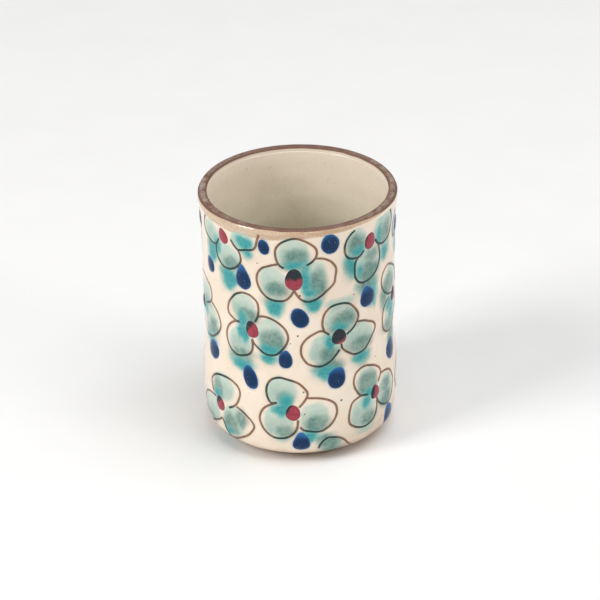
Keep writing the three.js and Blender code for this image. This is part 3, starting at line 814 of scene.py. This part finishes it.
def paint_wall(sleeve, flowers):
    """Gives the outer glaze its washes, its bleeding edges, its thin places and a painted
    shade low on its right.
    """
    turns, heights, _ = vertex_places(sleeve.data)
    places = turns, heights
    for label, cover in zip(("pale", "pooled", "turquoise"), washes_at(places, flowers)):
        put_number(sleeve, label, cover)
    dots = [dot[:5] for dot in COBALT_DOTS]
    put_number(sleeve, "cobalt_bleed", spread(places, dots, edge=0.9, wander=0.3, reach=0.2,
                                              narrowing=[dot[5] for dot in COBALT_DOTS]))
    lines = [smooth_line(line, 0.5) for flower in flowers for line in flower["lines"]]
    lines = np.concatenate(lines)
    near = KDTree(len(lines))
    for i, (u, v) in enumerate(lines):
        near.insert((GIRTH_RADIUS * math.sin(u / GIRTH_RADIUS),
                     -GIRTH_RADIUS * math.cos(u / GIRTH_RADIUS), v), i)
    near.balance()
    away = np.array([near.find((GIRTH_RADIUS * math.sin(a), -GIRTH_RADIUS * math.cos(a), z))[2]
                     for a, z in zip(np.radians(turns), heights)])
    put_number(sleeve, "iron_bleed", soft_step((1.35 - away) / 1.1))
    # This number holds the toasted glaze and also the painted shade on the wall's lower right.
    put_number(sleeve, "toast_and_shade", toasting_and_low_shade(turns, heights))


# ---- Finishes -------------------------------------------------------------------------------
def new_finish(name, **uniform):
    """A material with one shader, whose uniform values are set on the shader itself."""
    material = bpy.data.materials.new(name)
    material.use_nodes = True
    shader = material.node_tree.nodes["Principled BSDF"]
    for label, value in uniform.items():
        shader.inputs[label.replace("_", " ")].default_value = value
    return material, material.node_tree, shader


def layered(tree, base, layers):
    """Lays colours over a base, each as (strength, hex), the strength a number or a link."""
    for strength, colour in layers:
        base = add(tree, "ShaderNodeMix", {"data_type": "RGBA"},
                   {0: strength, 6: base, 7: linear(colour)})[2]
    return base


def connect(tree, shader, **feeds):
    """Links outputs to the shader's inputs, an underscore standing for each space."""
    for label, value in feeds.items():
        tree.links.new(value, shader.inputs[label.replace("_", " ")])


def toast_and_shade_glaze(tree, place, ground, toast_and_shade):
    """A thin glaze over iron: tan, in level streaks from the throwing rings, 0.8 mm apart. The
    same tan also lays the painted shade low on the wall's right.
    """
    level_rings = add(tree, "ShaderNodeMapping", None, {"Vector": place, "Scale": (1, 1, 9)})[0]
    streak = add(tree, "ShaderNodeTexNoise", None,
                 {"Vector": level_rings, "Scale": 130.0, "Detail": 3.0})[0]
    streak = add(tree, "ShaderNodeMapRange", None,
                 {"Value": streak, "From Min": 0.42, "From Max": 0.62, "To Max": 0.75})[0]
    streaky = add(tree, MATHS, {"operation": "MULTIPLY"}, {0: streak, 1: toast_and_shade})[0]
    ash = add(tree, "ShaderNodeTexNoise", None,
              {"Vector": place, "Scale": 1300.0, "Detail": 3.0})[0]
    ash = add(tree, "ShaderNodeMapRange", None,
              {"Value": ash, "From Min": 0.45, "From Max": 0.68, "To Max": 0.5})[0]
    ash = add(tree, MATHS, {"operation": "MULTIPLY"}, {0: ash, 1: toast_and_shade})[0]
    return layered(tree, ground, [(toast_and_shade, "C09E7D"), (streaky, "E6CCB0"), (ash, "AA8A6C")])


def white_slip_under_clear_glaze():
    """White slip, copper washes and a clear feldspar glaze, brushed and fired to stoneware:
    a warm, slightly uneven white with soft green paint in it and a wet shine on top."""
    finish, tree, shader = new_finish("white_slip_under_clear_glaze", Roughness=0.2, IOR=1.5)
    place = add(tree, "ShaderNodeTexCoord")["Object"]
    # Slip lies thick and thin over about 14 mm; wash granules are about 1 mm.
    cloud = add(tree, "ShaderNodeTexNoise", None,
                {"Vector": place, "Scale": 70.0, "Detail": 3.0})[0]
    cloud = add(tree, "ShaderNodeMapRange", None,
                {"Value": cloud, "From Min": 0.35, "From Max": 0.65})[0]
    grain = add(tree, "ShaderNodeTexNoise", None,
                {"Vector": place, "Scale": 1000.0, "Detail": 4.0, "Roughness": 0.6})[0]
    granules = add(tree, "ShaderNodeMapRange", None,
                   {"Value": grain, "From Min": 0.34, "From Max": 0.66, "To Min": 0.78})[0]
    level = {label: add(tree, "ShaderNodeAttribute", {"attribute_name": label})["Fac"]
             for label in ("pale", "pooled", "turquoise", "cobalt_bleed", "iron_bleed",
                           "toast_and_shade")}
    slip = layered(tree, linear("F6E4CF"), [(cloud, "FBECDA")])
    strong = {}
    for label, most in (("pale", 0.83), ("pooled", 0.95), ("turquoise", 0.98),
                        ("iron_bleed", 0.2), ("cobalt_bleed", 0.6)):
        weight = add(tree, MATHS, {"operation": "MULTIPLY"},
                     {0: level[label], 1: granules})[0]
        strong[label] = add(tree, MATHS, {"operation": "MULTIPLY"},
                            {0: weight, 1: most})[0]
    # The wash lies thinner wherever the brush was nearly dry, over about 5 mm.
    dry = add(tree, "ShaderNodeTexNoise", None,
              {"Vector": place, "Scale": 210.0, "Detail": 2.0})[0]
    dry = add(tree, "ShaderNodeMapRange", None,
              {"Value": dry, "From Min": 0.38, "From Max": 0.6, "To Min": 0.8})[0]
    for label in ("pale", "pooled"):
        strong[label] = add(tree, MATHS, {"operation": "MULTIPLY"},
                            {0: strong[label], 1: dry})[0]
    copper_core = add(tree, MATHS, {"operation": "POWER"},
                      {0: strong["turquoise"], 1: 2.5})[0]
    # Iron specks from the clay burn through as dots of up to 0.7 mm, about 10 mm apart.
    cells = add(tree, "ShaderNodeTexVoronoi", None, {"Vector": place, "Scale": 260.0})
    dot = add(tree, MATHS, {"operation": "LESS_THAN"},
              {0: cells["Distance"], 1: 0.09})[0]
    chosen = add(tree, "ShaderNodeSeparateColor", None, {0: cells["Color"]})[0]
    rare = add(tree, MATHS, {"operation": "GREATER_THAN"}, {0: chosen, 1: 0.86})[0]
    speck = add(tree, MATHS, {"operation": "MULTIPLY"}, {0: dot, 1: rare})[0]
    speck = add(tree, MATHS, {"operation": "MULTIPLY"}, {0: speck, 1: 0.3})[0]
    base = layered(tree, toast_and_shade_glaze(tree, place, slip, level["toast_and_shade"]), [
        (strong["iron_bleed"], "B98F74"), (strong["pale"], "A7CFC4"),
        (strong["pooled"], "457A70"), (strong["turquoise"], "3CB4B2"), (copper_core, "149196"),
        (strong["cobalt_bleed"], "4A7FAE"), (speck, "8A6A50")])
    peel = add(tree, "ShaderNodeTexNoise", None,
               {"Vector": place, "Scale": 300.0, "Detail": 2.0})[0]
    bump = add(tree, "ShaderNodeBump", None,
               {"Height": peel, "Strength": 0.16, "Distance": 0.0002})[0]
    worn = add(tree, "ShaderNodeMapRange", None,
               {"Value": grain, "To Min": 0.15, "To Max": 0.27})[0]
    connect(tree, shader, Base_Color=base, Normal=bump, Roughness=worn)
    return finish


def ash_liner_glaze():
    """A thin ash glaze poured in and out again: cream at the mouth, olive-grey and darker towards
    the floor, partly where it gathers and partly as painted shade deep in the cup; freckled,
    with a wet shine."""
    finish, tree, shader = new_finish("ash_liner_glaze", Roughness=0.16, IOR=1.5)
    place = add(tree, "ShaderNodeTexCoord")["Object"]
    height = add(tree, "ShaderNodeSeparateXYZ", None, {0: place})["Z"]
    cloud = add(tree, "ShaderNodeTexNoise", None,
                {"Vector": place, "Scale": 90.0, "Detail": 3.0})[0]
    wavy = add(tree, MATHS, {"operation": "MULTIPLY_ADD"},
               {0: cloud, 1: 0.02, 2: height})[0]
    # Darker and more olive deeper down: partly pooled glaze, partly painted shade inside the cup.
    pool_and_shade = add(tree, "ShaderNodeMapRange", {"interpolation_type": "SMOOTHSTEP"},
                {"Value": wavy, "From Min": 0.108, "From Max": 0.055})[0]
    fine = add(tree, "ShaderNodeTexNoise", None,
               {"Vector": place, "Scale": 900.0, "Detail": 3.0})[0]
    freckle = add(tree, "ShaderNodeMapRange", None,
                  {"Value": fine, "From Min": 0.6, "From Max": 0.74, "To Max": 0.2})[0]
    base = layered(tree, linear("FBEEDD"), [(pool_and_shade, "C6C4AE"), (freckle, "9A8466")])
    bump = add(tree, "ShaderNodeBump", None,
               {"Height": cloud, "Strength": 0.2, "Distance": 0.0003})[0]
    connect(tree, shader, Base_Color=base, Normal=bump)
    return finish


def iron_oxide_lip():
    """Iron oxide sponged on the lip and fired dry: a grainy red-brown, greyer in patches on its
    top and most at its left and right, a painted sheen. It gives way to a toasted, shining
    glaze on both shoulders."""
    finish, tree, shader = new_finish("iron_oxide_lip", IOR=1.5, Specular_IOR_Level=0.7)
    place = add(tree, "ShaderNodeTexCoord")["Object"]
    level = {label: add(tree, "ShaderNodeAttribute", {"attribute_name": label})["Fac"]
             for label in ("skirt", "painted_sheen", "within", "toast_and_shade")}
    patches = add(tree, "ShaderNodeTexNoise", None,
                  {"Vector": place, "Scale": 260.0, "Detail": 4.0})[0]
    grit = add(tree, "ShaderNodeTexNoise", None,
               {"Vector": place, "Scale": 1500.0, "Detail": 3.0})[0]
    # Grey patches on the lip's top, strongest at its left and right: a painted sheen where the
    # lights glance off the flat top.
    patchy_sheen = add(tree, "ShaderNodeMapRange", None,
                 {"Value": patches, "From Min": 0.36, "From Max": 0.6, "To Max": 0.85})[0]
    patchy_sheen = add(tree, MATHS, {"operation": "MULTIPLY"},
                 {0: patchy_sheen, 1: level["painted_sheen"]})[0]
    darker = add(tree, "ShaderNodeMapRange", None,
                 {"Value": grit, "From Min": 0.45, "From Max": 0.64, "To Max": 0.6})[0]
    iron = layered(tree, linear("755140"), [(patchy_sheen, "B4A396"), (darker, "4E372C")])
    ragged = add(tree, MATHS, {"operation": "MULTIPLY_ADD"},
                 {0: patches, 1: 0.4, 2: level["skirt"]})[0]
    glazed = add(tree, "ShaderNodeMapRange", {"interpolation_type": "SMOOTHSTEP"},
                 {"Value": ragged, "From Min": 0.5, "From Max": 0.9})[0]
    ground = layered(tree, linear("F8E8D4"), [(level["within"], "F8EBD9")])
    glaze = toast_and_shade_glaze(tree, place, ground, level["toast_and_shade"])
    base = add(tree, "ShaderNodeMix", {"data_type": "RGBA"}, {0: glazed, 6: iron, 7: glaze})[2]
    rough = add(tree, "ShaderNodeMapRange", None,
                {"Value": glazed, "To Min": 0.7, "To Max": 0.1})[0]
    relief = add(tree, MATHS, {"operation": "MULTIPLY_ADD"},
                 {0: patches, 1: 2.0, 2: grit})[0]
    bump = add(tree, "ShaderNodeBump", None,
               {"Height": relief, "Strength": 0.2, "Distance": 0.00012})[0]
    connect(tree, shader, Base_Color=base, Roughness=rough, Normal=bump)
    return finish


def bare_buff_stoneware():
    """Unglazed stoneware turned with a loop tool: a dry buff with grog grains and fine rings."""
    finish, tree, shader = new_finish("bare_buff_stoneware", Roughness=0.82, IOR=1.5)
    place = add(tree, "ShaderNodeTexCoord")["Object"]
    toast = add(tree, "ShaderNodeTexNoise", None,
                {"Vector": place, "Scale": 60.0, "Detail": 3.0})[0]
    # Grog is about 0.7 mm; the loop tool's rings are about 1.8 mm apart.
    grog = add(tree, "ShaderNodeTexVoronoi", None, {"Vector": place, "Scale": 1400.0})
    grain = add(tree, "ShaderNodeSeparateColor", None, {0: grog["Color"]})[0]
    dark = add(tree, "ShaderNodeMapRange", None,
               {"Value": grain, "From Min": 0.8, "From Max": 0.95, "To Max": 0.5})[0]
    light = add(tree, "ShaderNodeMapRange", None,
                {"Value": grain, "From Min": 0.2, "From Max": 0.05, "To Max": 0.5})[0]
    base = layered(tree, linear("C7A98A"), [(toast, "B28F70"), (dark, "7C5F4A"),
                                            (light, "DCC7AC")])
    rings = add(tree, "ShaderNodeTexWave",
                {"wave_type": "RINGS", "rings_direction": "Z", "wave_profile": "SIN"},
                {"Vector": place, "Scale": 175.0, "Distortion": 1.2, "Detail": 2.0})[1]
    relief = add(tree, MATHS, {"operation": "MULTIPLY_ADD"},
                 {0: rings, 1: 0.6, 2: grain})[0]
    bump = add(tree, "ShaderNodeBump", None,
               {"Height": relief, "Strength": 0.35, "Distance": 0.0002})[0]
    connect(tree, shader, Base_Color=base, Normal=bump)
    return finish


def iron_brush_line():
    """Iron oxide drawn on with a thin brush under the glaze: warm brown on white slip, and
    green-black where it meets the copper wash."""
    finish, tree, shader = new_finish("iron_brush_line", Roughness=0.24, IOR=1.5,
                                      Specular_IOR_Level=0.32)
    place = add(tree, "ShaderNodeTexCoord")["Object"]
    in_wash = add(tree, "ShaderNodeAttribute", {"attribute_name": "in_wash"})["Fac"]
    grain = add(tree, "ShaderNodeTexNoise", None,
                {"Vector": place, "Scale": 700.0, "Detail": 3.0})[0]
    thin = add(tree, "ShaderNodeMapRange", None,
               {"Value": grain, "From Min": 0.4, "From Max": 0.7, "To Max": 0.45})[0]
    brown = layered(tree, linear("8A654F"), [(thin, "B18D70")])
    black = layered(tree, linear("1C3835"), [(thin, "33564F")])
    base = add(tree, "ShaderNodeMix", {"data_type": "RGBA"}, {0: in_wash, 6: brown, 7: black})[2]
    connect(tree, shader, Base_Color=base)
    return finish


def painted_glints(tree, place, per_metre, share):
    """Painted glints standing in for small highlights on the wet enamel: pale points of about
    0.2 mm, in a share of the cells of a pattern with so many cells to the metre."""
    cells = add(tree, "ShaderNodeTexVoronoi", None, {"Vector": place, "Scale": per_metre})
    glint_point = add(tree, "ShaderNodeMapRange", None,
               {"Value": cells["Distance"], "From Min": 0.16, "From Max": 0.08, "To Max": 0.8})[0]
    chosen = add(tree, "ShaderNodeSeparateColor", None, {0: cells["Color"]})[0]
    rare = add(tree, MATHS, {"operation": "LESS_THAN"}, {0: chosen, 1: share})[0]
    return add(tree, MATHS, {"operation": "MULTIPLY"}, {0: glint_point, 1: rare})[0]


def cobalt_enamel():
    """Cobalt enamel dropped on thick from a full brush: deep blue glass, paler where it ran
    thin at its edge and top."""
    finish, tree, shader = new_finish("cobalt_enamel", Roughness=0.1, IOR=1.5,
                                      Specular_IOR_Level=0.22)
    place = add(tree, "ShaderNodeTexCoord")["Object"]
    thin = add(tree, "ShaderNodeAttribute", {"attribute_name": "thin"})["Fac"]
    cloud = add(tree, "ShaderNodeTexNoise", None,
                {"Vector": place, "Scale": 650.0, "Detail": 3.0})[0]
    patchy = add(tree, MATHS, {"operation": "MULTIPLY_ADD"},
                 {0: cloud, 1: 0.3, 2: thin})[0]
    thinner = add(tree, "ShaderNodeMapRange", None,
                  {"Value": patchy, "From Min": 0.2, "From Max": 1.15})[0]
    # Pale points painted on the dots as small highlights.
    glint = painted_glints(tree, place, 1000.0, 0.3)
    base = layered(tree, linear("022F59"), [(thinner, "2E69A6"), (glint, "A9C2CE")])
    bump = add(tree, "ShaderNodeBump", None,
               {"Height": cloud, "Strength": 0.12, "Distance": 0.0002})[0]
    connect(tree, shader, Base_Color=base, Normal=bump)
    return finish


def red_heart_enamel():
    """Red iron enamel with a touch of black dropped in at one side: opaque, wet and domed."""
    finish, tree, shader = new_finish("red_heart_enamel", Roughness=0.13, IOR=1.5,
                                      Specular_IOR_Level=0.32)
    place = add(tree, "ShaderNodeTexCoord")["Object"]
    dark = add(tree, "ShaderNodeAttribute", {"attribute_name": "dark"})["Fac"]
    thin = add(tree, "ShaderNodeAttribute", {"attribute_name": "thin"})["Fac"]
    cloud = add(tree, "ShaderNodeTexNoise", None,
                {"Vector": place, "Scale": 800.0, "Detail": 3.0})[0]
    bright = add(tree, "ShaderNodeMapRange", None,
                 {"Value": cloud, "From Min": 0.4, "From Max": 0.66, "To Max": 0.5})[0]
    # Pale points painted on the hearts as small highlights.
    glint = painted_glints(tree, place, 1400.0, 0.45)
    base = layered(tree, linear("9A3244"), [(bright, "B5485A"), (thin, "84414A"),
                                            (dark, "1C262E"), (glint, "D09878")])
    bump = add(tree, "ShaderNodeBump", None,
               {"Height": cloud, "Strength": 0.12, "Distance": 0.0002})[0]
    connect(tree, shader, Base_Color=base, Normal=bump)
    return finish


def stray_paint():
    """Drops of iron or copper paint that fell from the brush and melted flat."""
    finish, tree, shader = new_finish("stray_paint", Roughness=0.22, IOR=1.5)
    brown = add(tree, "ShaderNodeAttribute", {"attribute_name": "iron"})["Fac"]
    place = add(tree, "ShaderNodeTexCoord")["Object"]
    grain = add(tree, "ShaderNodeTexNoise", None, {"Vector": place, "Scale": 1500.0})[0]
    base = layered(tree, linear("5E8F8C"), [(brown, "7E5A4C")])
    base = add(tree, "ShaderNodeMix", {"data_type": "RGBA", "blend_type": "MULTIPLY"},
               {0: 0.35, 6: base, 7: grain})[2]
    connect(tree, shader, Base_Color=base)
    return finish


# ---- The cup --------------------------------------------------------------------------------
def finish_piece(piece, material_slot, *replaced):
    """Shades a piece smooth, faces it outwards and gives it to the cup's one body."""
    faces_outwards(piece)
    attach(piece, "root")
    if replaced:
        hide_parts(*replaced)


def make_shells(wheel):
    """The clay, the two glazes and the iron band on the lip."""
    clay = shaped("thrown_clay", chain_of("clay_profile", clay_profile()), wheel,
                  {"Facets": 160, "Oval": 0.00004, "Unevenness": 0.0001, "Seed": 2.0,
                   "Material": bare_buff_stoneware()})
    finish_piece(clay, "clay", "clay_body")
    sleeve = shaped("painted_glaze", chain_of("sleeve_profile", sleeve_profile()), wheel,
                    {**GLAZED_HAND, "Facets": FACETS_ROUND,
                     "Material": white_slip_under_clear_glaze()})
    finish_piece(sleeve, "white_glaze", "outside_glaze")
    liner = shaped("liner_glaze", chain_of("liner_profile", liner_profile()), wheel,
                   {**GLAZED_HAND, "Facets": FACETS_ROUND // 2, "Material": ash_liner_glaze()})
    finish_piece(liner, "liner_glaze", "inside_glaze")
    band = shaped("iron_lip", chain_of("lip_profile", lip_profile()), wheel,
                  {**GLAZED_HAND, "Facets": FACETS_ROUND, "Material": iron_oxide_lip()})
    turns, heights, radii = vertex_places(band.data)
    within = radii < LIP_CREST
    put_number(band, "within", within)
    # The lip's top, most at its left and right sides, is marked for the painted sheen.
    put_number(band, "painted_sheen", soft_step(1.5 - np.abs(radii - LIP_CREST))
               * (0.1 + 0.9 * np.sin(np.radians(turns)) ** 2))
    # The sponge left iron down to these heights: inside, and outside less far in front.
    wavy = 0.1 * drift(np.radians(turns) * GIRTH_RADIUS, heights, 31)
    wiped = np.where(within, 99.2, 98.6 + 0.85 * np.exp(-(turns / 60) ** 4)) + wavy
    put_number(band, "skirt", soft_step((wiped - heights) / 0.4 + 0.5))
    put_number(band, "toast_and_shade", np.where(within, 0.6 * soft_step((heights - 98.6) / 0.8),
                                         toasting_and_low_shade(turns, heights)))
    finish_piece(band, "iron_wash", "lip_band")
    return sleeve


def node_names(stem):
    """The frame's nodes whose names start with a stem."""
    return sorted(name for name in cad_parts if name.startswith(stem))


def make_painting(sleeve):
    """The washes in the glaze, then the lines, hearts, dots and drops that stand on it."""
    flowers = all_flowers()
    paint_wall(sleeve, flowers)

    lines = shaped("iron_outlines", brush_chains(flowers), brush_line_tree(),
                   {"Line width": 0.00092, "Line relief": 0.00006, "Sides": 8, "Wall": sleeve,
                    "Material": iron_brush_line()})
    turns, heights, _ = vertex_places(lines.data)
    pale, pooled, turquoise = washes_at((turns, heights), flowers, reach=0.7)
    put_number(lines, "in_wash", np.clip(np.maximum(pale, pooled + turquoise), 0, 1))
    finish_piece(lines, "iron_wash")

    dabs = dab_tree()
    hearts = [flower["heart"] for flower in flowers if "heart" in flower]
    red = shaped("red_hearts", dab_points("heart_points", [(*h[:5], 0.14) for h in hearts]), dabs,
                 {"Relief": 0.00034, "Wander": 0.22, "Seed": 3.0, "Wall": sleeve,
                  "Material": red_heart_enamel()})
    local, rows = on_each_dab(red, hearts)
    side = np.radians(rows[:, 5])
    towards = local[:, 0] * np.cos(side) + local[:, 1] * np.sin(side)
    ragged = 0.22 * drift(local[:, 0] * 7 + rows[:, 0], local[:, 1] * 7, 41)
    shaded = soft_step((towards + ragged - (1 - 2 * rows[:, 6])) / 0.35 + 0.5)
    put_number(red, "dark", shaded * (rows[:, 6] > 0.02))
    put_number(red, "thin", soft_step((np.hypot(local[:, 0], local[:, 1]) - 0.82) / 0.18) * 0.6)
    finish_piece(red, "red_enamel", *node_names("red_heart_"))

    blue = shaped("cobalt_dots", dab_points("dot_points", [d[:6] for d in COBALT_DOTS]), dabs,
                  {"Relief": 0.00036, "Wander": 0.3, "Seed": 8.0, "Wall": sleeve,
                   "Material": cobalt_enamel()})
    local, rows = on_each_dab(blue, COBALT_DOTS)
    edge = soft_step((np.hypot(local[:, 0], local[:, 1]) - 0.72) / 0.28)
    pale_top = rows[:, 6] * soft_step((local[:, 1] - 0.1) / 0.8)
    put_number(blue, "thin", np.clip(0.55 * edge + pale_top, 0, 1))
    finish_piece(blue, "cobalt", *node_names("cobalt_dab_"))

    drops = shaped("stray_drops",
                   dab_points("drop_points", [(a, z, s, s * 1.1, 0, 0) for a, z, s, _
                                              in STRAY_DROPS]), dabs,
                   {"Relief": 0.00005, "Wander": 0.5, "Seed": 1.0, "Facets": 14, "Rings": 8,
                    "Wall": sleeve, "Material": stray_paint()})
    _, rows = on_each_dab(drops, STRAY_DROPS)
    put_number(drops, "iron", rows[:, 3])
    finish_piece(drops, "iron_wash")


# ---- Stage ----------------------------------------------------------------------------------
def make_table():
    """A plain pale table top, large enough to fill every view."""
    mesh = bpy.data.meshes.new("table_top")
    mesh.from_pydata([(-4, -4, 0), (4, -4, 0), (4, 4, 0), (-4, 4, 0)], [], [(0, 1, 2, 3)])
    table = bpy.data.objects.new("table_top", mesh)
    bpy.context.scene.collection.objects.link(table)
    finish, tree, shader = new_finish("white_paper_sheet", Roughness=0.9)
    place = add(tree, "ShaderNodeTexCoord")["Object"]
    fibre = add(tree, "ShaderNodeTexNoise", None, {"Vector": place, "Scale": 30.0})[0]
    connect(tree, shader, Base_Color=layered(tree, linear("F8F8F8"), [(fibre, "F3F3F3")]))
    mesh.materials.append(finish)


def add_light(name, place, wide, tall, power, colour):
    """A rectangular soft light, in metres and watts, turned to the middle of the cup."""
    lamp = bpy.data.lights.new(name, "AREA")
    lamp.shape, lamp.size, lamp.size_y = "RECTANGLE", wide, tall
    lamp.energy, lamp.color = power, colour
    holder = bpy.data.objects.new(name, lamp)
    holder.location = place
    towards = Vector((0, 0, 0.05)) - Vector(place)
    holder.rotation_euler = towards.to_track_quat("-Z", "Y").to_euler()
    bpy.context.scene.collection.objects.link(holder)


def make_light():
    """Soft lights from the left and above, a weaker one from the right and a pale room."""
    add_light("left_softbox", (-1.5, -0.8, 1.2), 0.65, 1.1, 21.5, (1, 0.99, 0.965))
    add_light("right_softbox", (1.5, -0.8, 1.2), 0.6, 0.35, 4.8, (1, 0.96, 0.92))
    add_light("ceiling", (0.5, -0.2, 1.8), 1.6, 1.6, 22, (1.0, 1.0, 1.0))
    world = bpy.data.worlds.new("pale_room")
    bpy.context.scene.world = world
    world.use_nodes = True
    walls = world.node_tree.nodes["Background"].inputs
    walls["Color"].default_value = (1.0, 1.0, 1.0, 1.0)
    walls["Strength"].default_value = 0.27


def make_camera():
    """Looks down a little from the front, from arm's length, very slightly tilted."""
    distance, elevation, roll = 0.95, math.radians(28.88), math.radians(-0.87)
    aim = Vector((0.00027, 0.0, 0.0514))
    backwards = Vector((0, -math.cos(elevation), math.sin(elevation)))
    level, upright = Vector((1, 0, 0)), Vector((0, math.sin(elevation), math.cos(elevation)))
    right = math.cos(roll) * level + math.sin(roll) * upright
    up = math.cos(roll) * upright - math.sin(roll) * level
    camera = bpy.data.cameras.new("camera")
    camera.sensor_width, camera.lens = 36, 149.4
    camera.clip_start = 0.01
    holder = bpy.data.objects.new("camera", camera)
    turn = Matrix((right, up, backwards)).transposed()
    holder.matrix_world = Matrix.Translation(aim + backwards * distance) @ turn.to_4x4()
    bpy.context.scene.collection.objects.link(holder)
    bpy.context.scene.camera = holder


make_camera()
make_light()
make_table()
make_painting(make_shells(wheel_tree()))
bpy.context.scene.view_settings.view_transform = "Standard"
